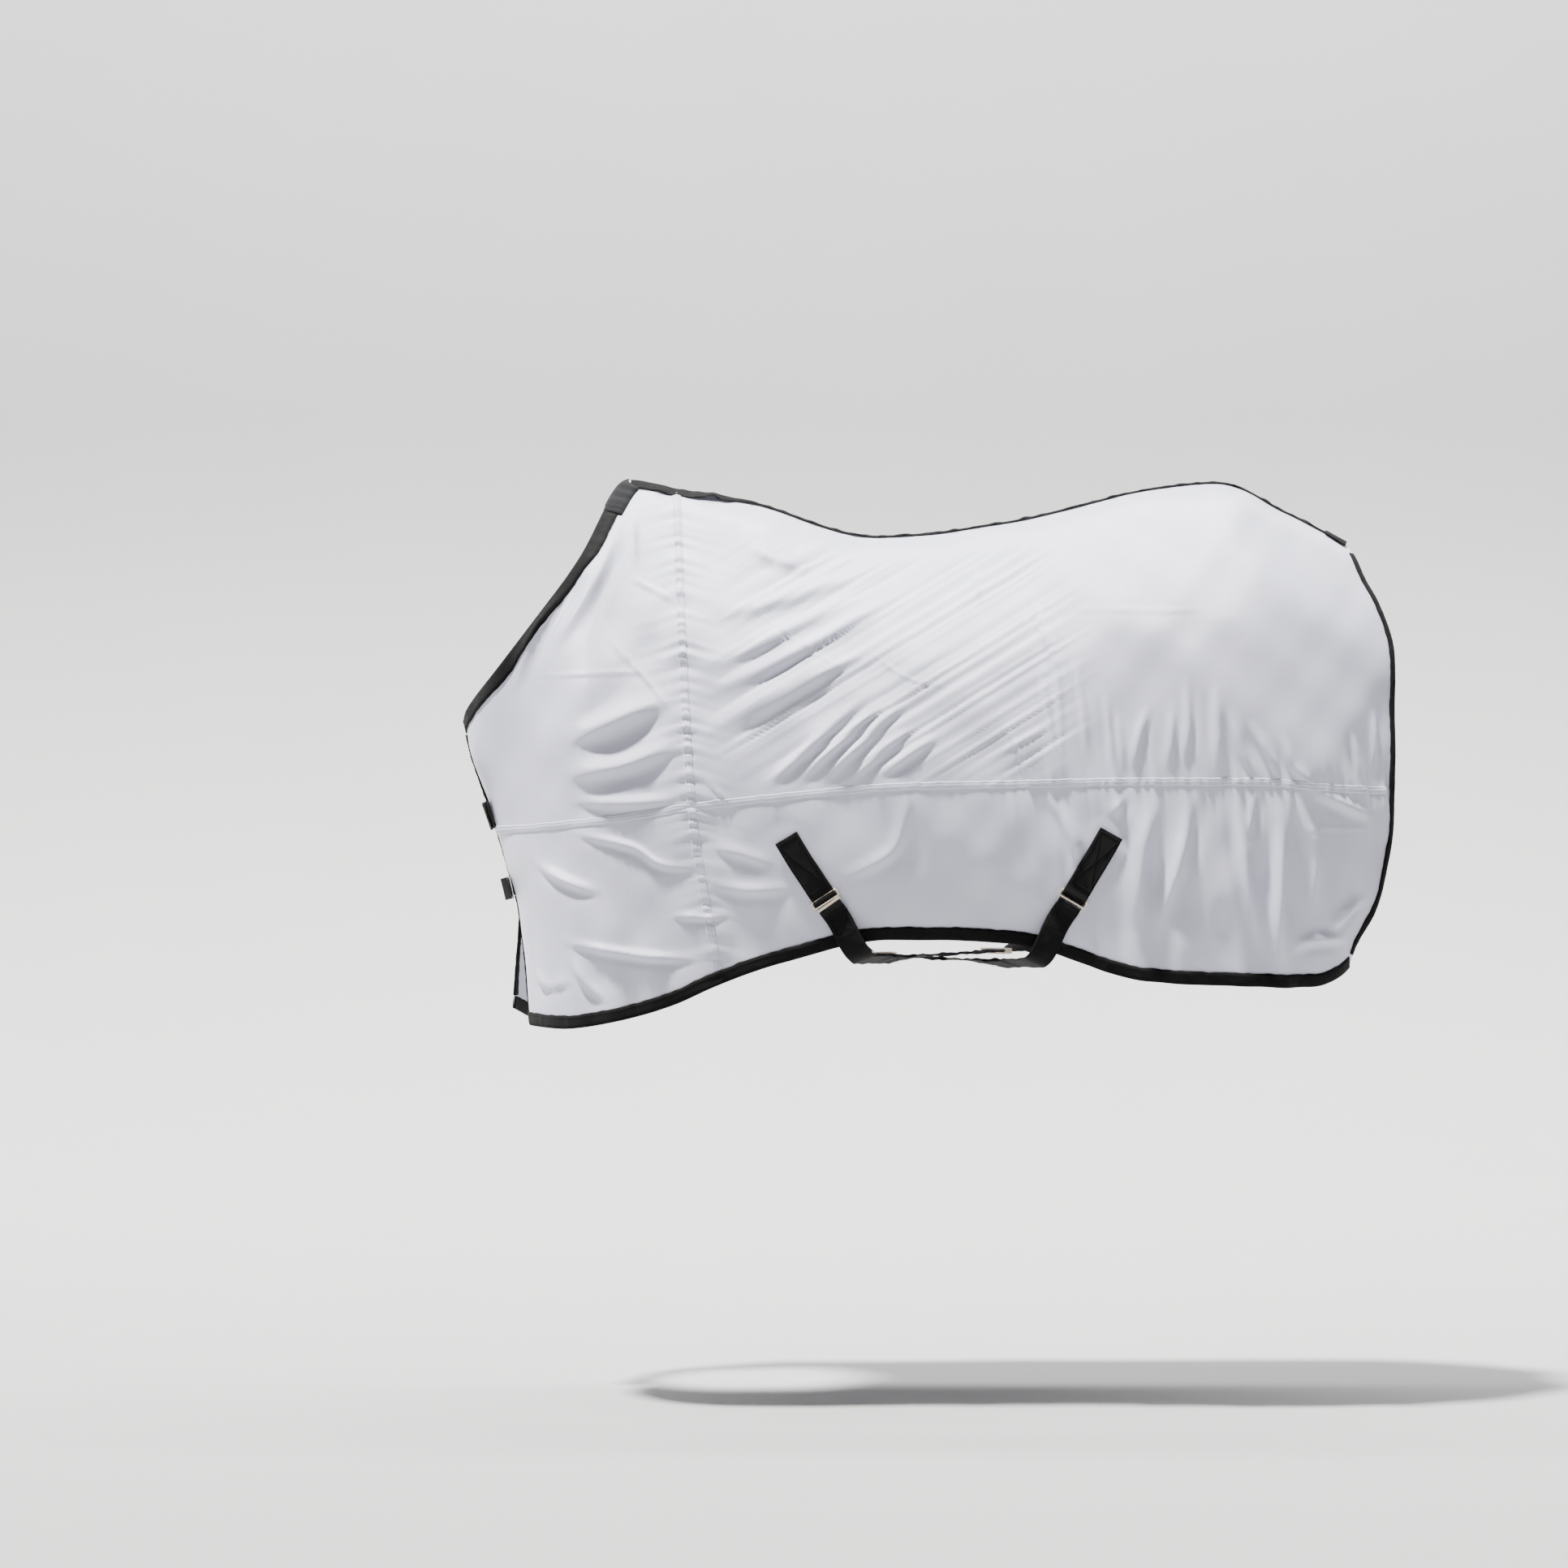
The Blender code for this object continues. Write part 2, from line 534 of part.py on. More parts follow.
def make_spine(half):
    low = CLOTH + SEAM_CLEARANCE + EDGE_GAP
    withers, rear = index_of(U_KNOTS, U_WITHERS), index_of(U_KNOTS, U_REAR)
    path = spine_rows(half, range(withers, rear + 1))
    tape = cut_path(path, PAD_WIDTH + 3 * GAP, DOCK_PATCH + 2 * GAP)
    strip_over("spine_tape", tape, "tape", SPINE_TAPE_WIDTH, low, low + TAPE)
    length = np.linalg.norm(np.diff(path[:, 0], axis=0), axis=1).sum()
    stay = cut_path(path, length - DOCK_PATCH, 0)
    strip_over("dock_patch", stay, "webbing", DOCK_PATCH, low + GAP, low + GAP + WEB)


def make_withers_pad(half):
    """Padded sleeve around the neck edge, over the withers from one side to the other."""
    withers = index_of(U_KNOTS, U_WITHERS)
    edge = edge_of(half, (U_FOLD, 0), (U_WITHERS, 0), (0, 1), PAD_WIDTH, 2)
    length = np.linalg.norm(np.diff(edge[:, 0], axis=0), axis=1).sum()
    sleeve = cut_path(edge, length - PAD_LENGTH, PAD_CROWN)
    point = half["points"][withers, 0] * [1, 0, 1]
    backward = unit((half["points"][withers + 1, 0] - half["points"][withers, 0]) * [1, 0, 1])
    up = np.cross(backward, [0, -1, 0])
    crown = np.array([point, point + backward * PAD_WIDTH / 2, point + backward * PAD_WIDTH, up, up, up])
    back = sleeve[::-1] * np.array([1, -1, 1])
    binding("withers_pad", np.concatenate([sleeve, [crown], back]), PAD_THICKNESS, "pad")


# ---------------------------------------------------------------- surcingle patches, rings and straps
def leaning_run(half, patch):
    """Surface points from the top of a surcingle patch down the way it leans, one every 6 mm or so."""
    (u0, v0), (u1, v1) = patch
    return np.array([surface_frame(half, u0 + (u1 - u0) * t, v0 + (v1 - v0) * t) for t in np.linspace(0, 1, 20)])


def make_patch(half, name, patch):
    """Sewn patch of PATCH_LENGTH; returns its lower end as point, way down, width direction and normal."""
    run = leaning_run(half, patch)
    length = np.linalg.norm(np.diff(run[:, 0], axis=0), axis=1).sum()
    kept = cut_path(run, 0, length - PATCH_LENGTH) if length > PATCH_LENGTH else run
    kept = kept[[0, len(kept) // 3, 2 * len(kept) // 3, -1]]
    rows = []
    for i, (point, normal) in enumerate(kept):
        ahead = kept[min(i + 1, len(kept) - 1), 0] - kept[max(i - 1, 0), 0]
        normal = unit(normal)
        rows.append((point, unit(np.cross(normal, ahead)), normal))
    low = CLOTH + WEB_CLEARANCE
    band(f"{half['side']}_{name}", np.array(rows), WEB_WIDTH, low, low + WEB, "webbing")
    point, across, normal = rows[-1]
    middle = low + WEB / 2
    return point + normal * middle, unit(np.cross(across, normal)), across, normal


def frame_matrix(origin, x_axis, y_axis, z_axis):
    turn = Matrix((Vector(x_axis), Vector(y_axis), Vector(z_axis))).transposed()
    return Matrix.Translation(Vector(origin)) @ turn.to_4x4()


def make_ring(name, end):
    """Rectangular wire ring under a patch; its origin is on the upper bar, which it tilts about."""
    point, down, across, normal = end
    half_width = (WEB_WIDTH + RING_EXTRA_WIDTH - RING_WIRE) / 2
    height = RING_HEIGHT - RING_WIRE
    corner = RING_WIRE / 2
    outline = []
    for x, y, start in ((half_width, 0, 0), (-half_width, 0, 90), (-half_width, -height, 180),
                        (half_width, -height, 270)):
        centre = (x - math.copysign(corner, x), y + (corner if y else -corner))
        for angle in (start, start + 45, start + 90):
            turn = math.radians(angle)
            outline.append((centre[0] + corner * math.cos(turn), centre[1] + corner * math.sin(turn)))
    wire = bpy.data.curves.new(name, "CURVE")
    wire.dimensions = "3D"
    wire.bevel_depth = RING_WIRE / 2
    wire.bevel_resolution = 1
    spline = wire.splines.new("POLY")
    spline.points.add(len(outline) - 1)
    spline.use_cyclic_u = True
    for knot, (x, y) in zip(spline.points, outline):
        knot.co = (x, y, 0, 1)
    wire.materials.append(material_for(name, "metal"))
    ring = bpy.data.objects.new(name, wire)
    bar = point + down * (RING_WIRE / 2 + GAP)
    ring.matrix_world = frame_matrix(bar, across, -down, np.cross(across, -down))
    parts.objects.link(ring)
    return bar + down * (height + RING_WIRE / 2 + GAP)


def side_run(half, patch, start):
    """Knots of a surcingle from the end of its patch to its turn under the hem."""
    (u0, v0), (u1, v1) = patch
    slope = (u1 - u0) / (v1 - v0)
    above, turn = (v1 + V_HEM) / 2, V_HEM
    high, high_normal = surface_frame(half, u1 + slope * (above - v1), above)
    low, low_normal = surface_frame(half, u1 + slope * (turn - v1), turn)
    stand = CLOTH + BINDING_CLEARANCE + TAPE + WEB_CLEARANCE + WEB / 2
    return [start, high + high_normal * stand, low + low_normal * HEM_STAND_OFF - np.array([0, 0, HEM_DROP])]


def belly_path(first, second, centre_drop):
    """Surcingle from one side to the other, as rows of point, width direction and normal."""
    level = BELLY_LEVEL * DROP / DRAWN_SIZE[2]
    flat = []
    for share, fall in zip(BELLY_SHARES + BELLY_SHARES[1::-1], BELLY_FALL):
        weight = share if len(flat) < 3 else 1 - share
        point = first[-1] * (1 - weight) + second[-1] * weight
        flat.append(np.array([point[0], point[1], level - centre_drop * fall]))
    points = np.array(first + flat + second[::-1])
    tilt = np.radians(np.array(BELLY_TILT, dtype=float))
    side = -np.sign(first[0][1])
    angles = np.concatenate([tilt, math.pi - tilt[:-1][::-1]]).reshape(-1, 1)
    rows = []
    last = len(points) - 1
    for t in np.linspace(0, last, BELLY_STEPS * last + 1):
        point = along(points, t)
        ahead = unit(along(points, min(t + SURFACE_STEP, last)) - along(points, max(t - SURFACE_STEP, 0)))
        angle = along(angles, t)[0]
        normal = np.array([0, -side * math.cos(angle), -math.sin(angle)])
        normal = unit(normal - ahead * normal.dot(ahead))
        rows.append((point, unit(np.cross(normal, ahead)), normal))
    return np.array(rows)


def length_to(path, knot):
    """Length along the belly path up to one of its first knots."""
    return np.linalg.norm(np.diff(path[: BELLY_STEPS * knot + 1, 0], axis=0), axis=1).sum()


def hook_plate(name, row):
    """T-shaped metal end of a strap, in the strap's plane, pointing at the ring."""
    point, across, normal = row
    up = unit(np.cross(normal, across))
    stem, head = HOOK_STEM / 2, WEB_WIDTH / 2 + HOOK_OVERHANG
    neck = HOOK_HEIGHT / 2
    outline = [(-stem, 0), (stem, 0), (stem, neck), (head, neck), (head, HOOK_HEIGHT), (-head, HOOK_HEIGHT),
               (-head, neck), (-stem, neck)]
    plate = bpy.data.curves.new(name, "CURVE")
    plate.dimensions = "2D"
    plate.fill_mode = "BOTH"
    plate.extrude = HOOK_THICKNESS / 2
    spline = plate.splines.new("POLY")
    spline.points.add(len(outline) - 1)
    spline.use_cyclic_u = True
    for knot, (x, y) in zip(spline.points, outline):
        knot.co = (x, y, 0, 1)
    plate.materials.append(material_for(name, "metal"))
    made = bpy.data.objects.new(name, plate)
    x_axis = unit(np.cross(up, normal))
    made.matrix_world = frame_matrix(point + up * GAP, x_axis, up, normal)
    parts.objects.link(made)
    return made


def make_adjuster(name, row, ahead):
    """Three-bar slide around the webbing, free to run along it."""
    point, across, normal = row
    outer = (WEB_WIDTH + 2 * (RUNNING_GAP + ADJUSTER_WALL), ADJUSTER_LENGTH, WEB + 2 * (RUNNING_GAP + ADJUSTER_WALL))
    inner = (WEB_WIDTH + 2 * RUNNING_GAP, ADJUSTER_LENGTH * 2, WEB + 2 * RUNNING_GAP)
    matrix = frame_matrix(point, across, ahead, np.cross(across, ahead))
    slider = add_box(name, outer, matrix, "metal")
    cut_box(slider, inner, matrix)
    return slider


def add_box(name, size, matrix, kind, group=None):
    shape = bmesh.new()
    bmesh.ops.create_cube(shape, size=1)
    bmesh.ops.scale(shape, vec=size, verts=shape.verts)
    mesh = bpy.data.meshes.new(name)
    shape.to_mesh(mesh)
    shape.free()
    if kind:
        mesh.materials.append(material_for(name, kind))
    box = bpy.data.objects.new(name, mesh)
    box.matrix_world = matrix
    (group or parts).objects.link(box)
    return box


def cut_box(target, size, matrix):
    cutter = add_box(f"{target.name}_cutter_{len(target.modifiers)}", size, matrix, None, cutters)
    hide_guide(cutter)
    modifier = target.modifiers.new("cut", "BOOLEAN")
    modifier.operation = "DIFFERENCE"
    modifier.object = cutter


def join_box(target, size, matrix):
    tool = add_box(f"{target.name}_tool_{len(target.modifiers)}", size, matrix, None, cutters)
    hide_guide(tool)
    modifier = target.modifiers.new("join", "BOOLEAN")
    modifier.operation = "UNION"
    modifier.object = tool


def hide_guide(thing):
    thing.hide_render = True
    thing.display_type = "WIRE"


def make_surcingle(name, start, finish, centre_drop, root_name):
    """One belly strap in three links: end (with its hook), belly, and root sewn on the off side."""
    path = belly_path(start, finish, centre_drop)
    total = np.linalg.norm(np.diff(path[:, 0], axis=0), axis=1).sum()
    bend, flat = length_to(path, 2), length_to(path, 3)
    back_flat = total - length_to(path[::-1], 3)
    hook_room = HOOK_HEIGHT + 2 * GAP
    low, high = -WEB / 2, WEB / 2
    end = cut_path(path, hook_room, total - bend + LINK_GAP / 2)
    belly = cut_path(path, bend + LINK_GAP / 2, total - back_flat + LINK_GAP / 2)
    root = cut_path(path, back_flat + LINK_GAP / 2, 3 * GAP)
    end_strap = band(f"{name}_surcingle_end", end, WEB_WIDTH, low, high, "webbing")
    belly_strap = band(f"{name}_surcingle_belly", belly, WEB_WIDTH, low, high, "webbing")
    band(root_name, root, WEB_WIDTH, low, high, "webbing")
    hook = hook_plate(f"{name}_surcingle_hook", end[0])
    place = cut_path(path, back_flat - ADJUSTER_PLACE, 0)
    ahead = unit(place[0, 0] - place[2, 0])
    adjuster = make_adjuster(f"{name}_surcingle_adjuster", place[0], ahead)
    unbend, release = cut_path(path, bend, 0)[0], cut_path(path, back_flat, 0)[0]
    hang_on(f"{name}_surcingle_release", release[0], release[1], [belly_strap, adjuster])
    hang_on(f"{name}_surcingle_unbend", unbend[0], unbend[1], [end_strap, hook])


# ---------------------------------------------------------------- chest closure
def chest_frame(half, row):
    """Point on the centre line of the chest at a row, with the outward normal and the way up."""
    point, normal = surface_frame(half, 0, row)
    point = point * [1, 0, 1]
    normal = unit(normal * [1, 0, 1])
    return point, normal, unit(np.cross([0, 1, 0], normal))


def chest_web(half, name, row, from_centre, length, lift, width=CHEST_WEB_WIDTH):
    """Short webbing sewn on a chest front, along a row."""
    rows = []
    up = chest_frame(half, row)[2]
    for reach in np.linspace(from_centre, from_centre + length, 4):
        point, normal = point_at_reach(half, row, reach)
        across = unit(up - normal * up.dot(normal))
        rows.append((point, across, normal))
    return band(f"{half['side']}_{name}", np.array(rows), width, lift, lift + WEB, "webbing")


def point_at_reach(half, row, reach):
    """Surface point of a chest front at a distance from its front edge, along a row."""
    walked = 0.0
    last = surface_frame(half, 0, row)
    for u in np.linspace(0, U_FOLD, 121)[1:]:
        here = surface_frame(half, u, row)
        walked += np.linalg.norm(here[0] - last[0])
        if walked >= reach:
            return here
        last = here
    return last


def make_chest_tab():
    """Hook and loop tab: sewn base on the near front, swinging tab across, landing patch on the off front."""
    sewn = CLOTH + SEAM_CLEARANCE + SEAM_HEIGHT + WEB_CLEARANCE
    chest_web(near, "tab_base", CHEST_TAB_ROW, TAB_ROOT, CHEST_BASE_LENGTH, sewn)
    inset = FRONT_BINDING + LANDING_INSET
    chest_web(off, "tab_landing", CHEST_TAB_ROW, inset, TAB_REACH - FRONT_BINDING, sewn)
    lift = sewn + WEB + WEB_CLEARANCE
    rows = []
    up = chest_frame(near, CHEST_TAB_ROW)[2]
    for reach in (TAB_ROOT + TAB_OVERLAP, TAB_ROOT, TAB_ROOT / 2, TAB_FLAT):
        point, normal = point_at_reach(near, CHEST_TAB_ROW, reach)
        rows.append((point + normal * lift, unit(up - normal * up.dot(normal)), normal))
    for reach in (TAB_FLAT, TAB_REACH / 3, 2 * TAB_REACH / 3, TAB_REACH):
        point, normal = point_at_reach(off, CHEST_TAB_ROW, reach)
        rows.append((point + normal * lift, unit(up - normal * up.dot(normal)), normal))
    tab = band("chest_tab", np.array(rows), CHEST_WEB_WIDTH, 0, WEB, "webbing")
    hang_on("chest_tab_hinge", rows[0][0], rows[0][1], [tab])


def make_clip():
    """Two-part quick clip below the tab: prongs on the near half run into the socket of the off half."""
    point, normal, up = chest_frame(near, CHEST_CLIP_ROW)
    base = CLOTH + BINDING_CLEARANCE + TAPE + WEB_CLEARANCE
    out = base + CLIP_THICKNESS / 2
    sideways = np.cross(up, normal)
    if sideways[1] < 0:
        sideways = -sideways

    def placed(y, lift, rise=0.0):
        return frame_matrix(point + sideways * y + normal * lift + up * rise, sideways, up, np.cross(sideways, up))

    flat = (CLIP_HALF_LENGTH, CLIP_HEIGHT, CLIP_THICKNESS)
    offset = CLIP_HALF_LENGTH / 2 + GAP
    female = add_box("off_clip_socket", flat, placed(offset, out), "plastic")
    male = add_box("near_clip_prongs", flat, placed(-offset, out), "plastic")
    reach = PRONG_LENGTH + PRONG_ROOT
    socket_high = min(PRONG_THICKNESS + 2 * PRONG_GAP, CLIP_THICKNESS - 2 * CLIP_SKIN)
    cut_box(female, (2 * reach, CLIP_HEIGHT - 2 * CLIP_WALL, socket_high), placed(GAP, out))
    cut_fins(female, offset + FIN_SHIFT, placed, out)
    cut_fins(male, -offset - FIN_SHIFT, placed, out)
    for rise in (-1, 1):
        size = (reach, PRONG_WIDTH, PRONG_THICKNESS)
        middle = (PRONG_LENGTH - PRONG_ROOT) / 2
        place = placed(middle, out - PRONG_DROP, rise * (CLIP_HEIGHT / 2 - PRONG_INSET))
        join_box(male, size, place)
    for half in (near, off):
        chest_web(half, "clip_strap", CHEST_CLIP_ROW, CLIP_HALF_LENGTH + SEAM_CLEARANCE + EDGE_GAP,
                  CHEST_BASE_LENGTH, base, CLIP_STRAP_WIDTH)


def cut_fins(body, way, placed, out):
    """Grooves across the front of one half of the clip, which leave CLIP_FINS fins standing."""
    pitch = CLIP_HEIGHT / CLIP_FINS
    for k in range(1, CLIP_FINS):
        size = (FIN_LENGTH, FIN_GAP, 2 * FIN_DEPTH)
        cut_box(body, size, placed(way, out + CLIP_THICKNESS / 2, (k - CLIP_FINS / 2) * pitch))


def hang_chest_front(half):
    """Hinges a chest front on its straight fold, with the axis just outside the bindings."""
    fold = index_of(U_KNOTS, U_FOLD)
    top, foot = half["points"][fold, 0], half["points"][fold, -1]
    outward = unit(half["normals"][fold].mean(axis=0))
    lift = CLOTH + BINDING_CLEARANCE + TAPE + GAP
    side = half["side"]
    front = [node for node in parts.objects if node.type == "MESH" and node.parent is None
             and node.name.startswith((f"{side}_chest", f"{side}_front_binding", f"{side}_tab", f"{side}_clip"))]
    hang_on(f"{side}_front_hinge", (top + foot) / 2 + outward * lift, top - foot, front)


clear_scene()
parts = make_collection(COLLECTION)
cutters = make_collection("cutters")
near = build_side("near")
off = build_side("off")
for half in (near, off):
    make_panels(half)
    make_seams(half)
    make_bindings(half)
make_spine(near)
make_withers_pad(near)

strap_ends = {}
for half in (near, off):
    for label, patch in (("front", FRONT_PATCH), ("rear", REAR_PATCH)):
        bottom = make_patch(half, f"{label}_patch", patch)
        start = make_ring(f"near_{label}_ring", bottom) if half is near else bottom[0]
        strap_ends[half["side"], label] = side_run(half, patch, start)
front_start, rear_start = strap_ends["near", "front"], strap_ends["near", "rear"]
front_finish, rear_finish = strap_ends["off", "rear"], strap_ends["off", "front"]
make_surcingle("front", front_start, front_finish, 0.0, "off_rear_surcingle_root")
make_surcingle("rear", rear_start, rear_finish, CROSSING_GAP, "off_front_surcingle_root")
make_chest_tab()
make_clip()
for half in (near, off):
    hang_chest_front(half)
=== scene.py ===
import math

import bmesh
import bpy
import numpy as np
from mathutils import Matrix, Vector


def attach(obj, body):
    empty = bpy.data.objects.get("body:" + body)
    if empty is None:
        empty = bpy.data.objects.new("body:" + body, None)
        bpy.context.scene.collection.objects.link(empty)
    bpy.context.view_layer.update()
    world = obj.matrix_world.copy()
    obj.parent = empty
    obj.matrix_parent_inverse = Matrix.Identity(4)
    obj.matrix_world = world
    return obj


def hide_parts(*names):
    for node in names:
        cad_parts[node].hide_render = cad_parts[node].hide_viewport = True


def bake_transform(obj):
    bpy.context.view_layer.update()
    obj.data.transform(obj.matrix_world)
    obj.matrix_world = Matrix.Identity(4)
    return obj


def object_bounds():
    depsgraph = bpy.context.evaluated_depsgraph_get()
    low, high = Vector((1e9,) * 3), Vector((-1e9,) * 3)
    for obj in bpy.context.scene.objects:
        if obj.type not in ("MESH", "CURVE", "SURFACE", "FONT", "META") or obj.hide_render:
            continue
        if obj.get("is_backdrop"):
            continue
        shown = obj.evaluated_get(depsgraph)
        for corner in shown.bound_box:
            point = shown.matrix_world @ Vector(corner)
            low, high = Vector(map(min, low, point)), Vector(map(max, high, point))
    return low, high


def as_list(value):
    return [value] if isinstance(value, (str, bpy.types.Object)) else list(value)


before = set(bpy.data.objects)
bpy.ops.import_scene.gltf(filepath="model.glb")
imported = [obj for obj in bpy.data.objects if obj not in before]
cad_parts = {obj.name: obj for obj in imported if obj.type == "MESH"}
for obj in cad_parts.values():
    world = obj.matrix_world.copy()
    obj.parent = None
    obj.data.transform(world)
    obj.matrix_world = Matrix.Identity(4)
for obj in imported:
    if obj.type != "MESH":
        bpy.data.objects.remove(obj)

CAD_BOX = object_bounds()

# ---------------------------------------------------------------- the draped shape, as in the CAD, in metres
# Stations run from the chest to the tail.
# Each has its top, upper flank, flank, side seam, lower flank and hem.
FOLD_TOP, FOLD_FOOT = np.array([-0.196, -0.125, -0.297]), np.array([-0.103, -0.200, -0.889])
FOLD = [tuple(FOLD_TOP + (FOLD_FOOT - FOLD_TOP) * s) for s in (0.0, 0.13, 0.28, 0.46, 0.69, 1.0)]
STATIONS = [
    [(-0.271, 0, -0.395), (-0.260, 0, -0.444), (-0.241, 0, -0.504),
     (-0.215, 0, -0.576), (-0.180, 0, -0.704), (-0.158, -0.050, -0.889)],
    [(-0.257, -0.050, -0.369), (-0.254, -0.055, -0.431), (-0.237, -0.060, -0.493),
     (-0.210, -0.060, -0.573), (-0.178, -0.060, -0.702), (-0.156, -0.105, -0.888)],
    FOLD,
    [(-0.078, -0.135, -0.140), (-0.062, -0.190, -0.233), (-0.057, -0.238, -0.377),
     (-0.040, -0.251, -0.557), (-0.026, -0.252, -0.703), (-0.009, -0.255, -0.874)],
    [(0, 0, 0), (0.030, -0.078, -0.072), (0.042, -0.202, -0.262),
     (0.050, -0.263, -0.544), (0.062, -0.263, -0.688), (0.077, -0.262, -0.849)],
    [(0.077, 0, -0.015), (0.082, -0.085, -0.082), (0.092, -0.215, -0.271),
     (0.108, -0.268, -0.535), (0.129, -0.268, -0.677), (0.154, -0.266, -0.815)],
    [(0.207, 0, -0.037), (0.210, -0.090, -0.102), (0.221, -0.225, -0.284),
     (0.234, -0.272, -0.521), (0.244, -0.268, -0.652), (0.257, -0.258, -0.780)],
    [(0.407, 0, -0.092), (0.405, -0.100, -0.146), (0.408, -0.235, -0.304),
     (0.414, -0.280, -0.504), (0.420, -0.272, -0.632), (0.427, -0.250, -0.745)],
    [(0.620, 0, -0.069), (0.615, -0.105, -0.125), (0.611, -0.240, -0.291),
     (0.613, -0.282, -0.499), (0.617, -0.275, -0.630), (0.620, -0.250, -0.752)],
    [(0.833, 0, -0.019), (0.824, -0.115, -0.071), (0.814, -0.250, -0.240),
     (0.812, -0.282, -0.495), (0.809, -0.280, -0.651), (0.806, -0.270, -0.806)],
    [(0.964, 0, -0.004), (0.966, -0.110, -0.058), (0.975, -0.240, -0.230),
     (0.990, -0.273, -0.495), (0.987, -0.270, -0.657), (0.975, -0.262, -0.818)],
    [(1.080, 0, -0.053), (1.090, -0.080, -0.100), (1.110, -0.190, -0.255),
     (1.125, -0.235, -0.505), (1.120, -0.235, -0.670), (1.095, -0.225, -0.822)],
    [(1.177, 0, -0.104), (1.198, -0.045, -0.153), (1.242, -0.100, -0.290),
     (1.238, -0.145, -0.510), (1.219, -0.160, -0.655), (1.160, -0.170, -0.792)],
]
OFF_CHEST_FOOT = (-0.190, -0.006, -0.866)
U_FOLD, U_WITHERS, U_SEAM, U_REAR = 2, 4, 5, 12
V_SEAM, V_HEM = 3, 5
CELLS_U = (2, 3, 4, 4, 2, 3, 4, 4, 4, 3, 3, 3)
CELLS_V = (3, 3, 3, 3, 2)
FRONT_PATCH = ((6.12, 3.45), (6.42, 4.27))
REAR_PATCH = ((8.80, 3.50), (8.50, 4.27))
CLOTH, WEB, WEB_WIDTH, PATCH_LENGTH, GAP = 0.0012, 0.0022, 0.040, 0.112, 0.0006
WEB_CLEARANCE, BINDING_CLEARANCE, TAPE = 0.0016, 0.0024, 0.0012
RING_HEIGHT, RING_WIRE, HOOK_HEIGHT = 0.014, 0.0034, 0.012
BELLY_LEVEL, CROSSING_GAP = -0.779, 0.0065
BELLY_TILT = (2, 6, 48, 86, 90, 90)
NEAR_TILT = (2, 6, 36, 52, 66, 90)
BELLY_SHARES = (0.09, 0.30, 0.5)
BELLY_FALL = (0.85, 1, 1, 1, 0.85)
HEM_DROP, HEM_STAND_OFF = 0.013, 0.010
CHEST_TAB_ROW, CHEST_CLIP_ROW = 2.70, 3.75
CHEST_TAB_WIDTH, CHEST_CLIP_WIDTH, CHEST_TAB_REACH = 0.044, 0.029, 0.058

# ---------------------------------------------------------------- sizes of the visible pieces only
FOLD_STRENGTH = 1.7  # every fold's height is multiplied by it
BINDING_PLY = 0.0010  # thickness of a binding's tape, and its gap to the cloth
TAB_LIFT = 0.0018  # webbing sewn under each ring, over the cloth
TAB_CLEAR = 0.022  # the base's stitching starts beyond the part that the swinging tab covers
COVER_LIFT = 0.0036  # the folded strap end over its hook plate
STRAP_LAP = 0.075  # how far the two halves of a belly strap lie on each other
STITCH_LIFT = 0.0001  # stitches stand this much above the tape or webbing
FLOOR = -1.497
MIRROR = np.array([1.0, -1.0, 1.0])
FLAT = np.array([1, 0, 1])
SIDES = ("near", "off")


def unit(vector):
    vector = np.asarray(vector, dtype=float)
    return vector / np.linalg.norm(vector, axis=-1, keepdims=True)


def run_lengths(points):
    """Distance along a line at each of its points."""
    return np.concatenate([[0], np.cumsum(np.linalg.norm(np.diff(points, axis=0), axis=1))])


def strip_uvs(along, across):
    """Texture coordinates in metres for sections at distances along a strip, with corners across it."""
    return np.stack(np.broadcast_arrays(along[:, None], across[None]), axis=2)


def make_cage(side):
    cage = np.array(STATIONS, dtype=float)
    if side == "off":
        cage[0, 5] = OFF_CHEST_FOOT
    cage[0, :, 1] = np.minimum(cage[0, :, 1], -0.0042)
    cage[U_WITHERS:, 0, 1] = -0.0012
    return cage


CAGES = {side: make_cage(side) for side in SIDES}


def hermite(values, t):
    """Limited smooth curve through values (knots, n, 3), at one t for each of the n columns."""
    step = np.diff(values, axis=0)
    before, after = step[:-1], step[1:]
    limit = 3 * np.minimum(abs(before), abs(after))
    inner = np.clip((before + after) / 2, -limit, limit)
    inner[before * after <= 0] = 0
    slope = np.concatenate([step[:1], inner, step[-1:]])
    i = np.clip(t.astype(int), 0, len(values) - 2)
    f = (t - i)[:, None]
    n = np.arange(len(t))
    return ((2 * f**3 - 3 * f**2 + 1) * values[i, n] + (f**3 - 2 * f**2 + f) * slope[i, n]
            + (3 * f**2 - 2 * f**3) * values[i + 1, n] + (f**3 - f**2) * slope[i + 1, n])


def curve_at(values, t):
    """Points of one limited smooth curve, at any number of places t."""
    return hermite(np.repeat(np.asarray(values, dtype=float)[:, None], len(t), axis=1), t)


def base(side, u, v):
    """Smooth draped surface, without its folds, at arrays of stations and rows."""
    u, v = np.clip(u, 0, U_REAR), np.clip(v, 0, V_HEM)
    cage = CAGES[side]
    rows = np.stack([curve_at(cage[:, row], u) for row in range(V_HEM + 1)])
    found = hermite(rows, v)
    return found if side == "near" else found * MIRROR


def directions(side, u, v):
    step = 0.01
    du = base(side, u + step, v) - base(side, u - step, v)
    dv = base(side, u, v + step) - base(side, u, v - step)
    wide = (np.clip(u + step, 0, U_REAR) - np.clip(u - step, 0, U_REAR))[:, None]
    tall = (np.clip(v + step, 0, V_HEM) - np.clip(v - step, 0, V_HEM))[:, None]
    return du / wide, dv / tall


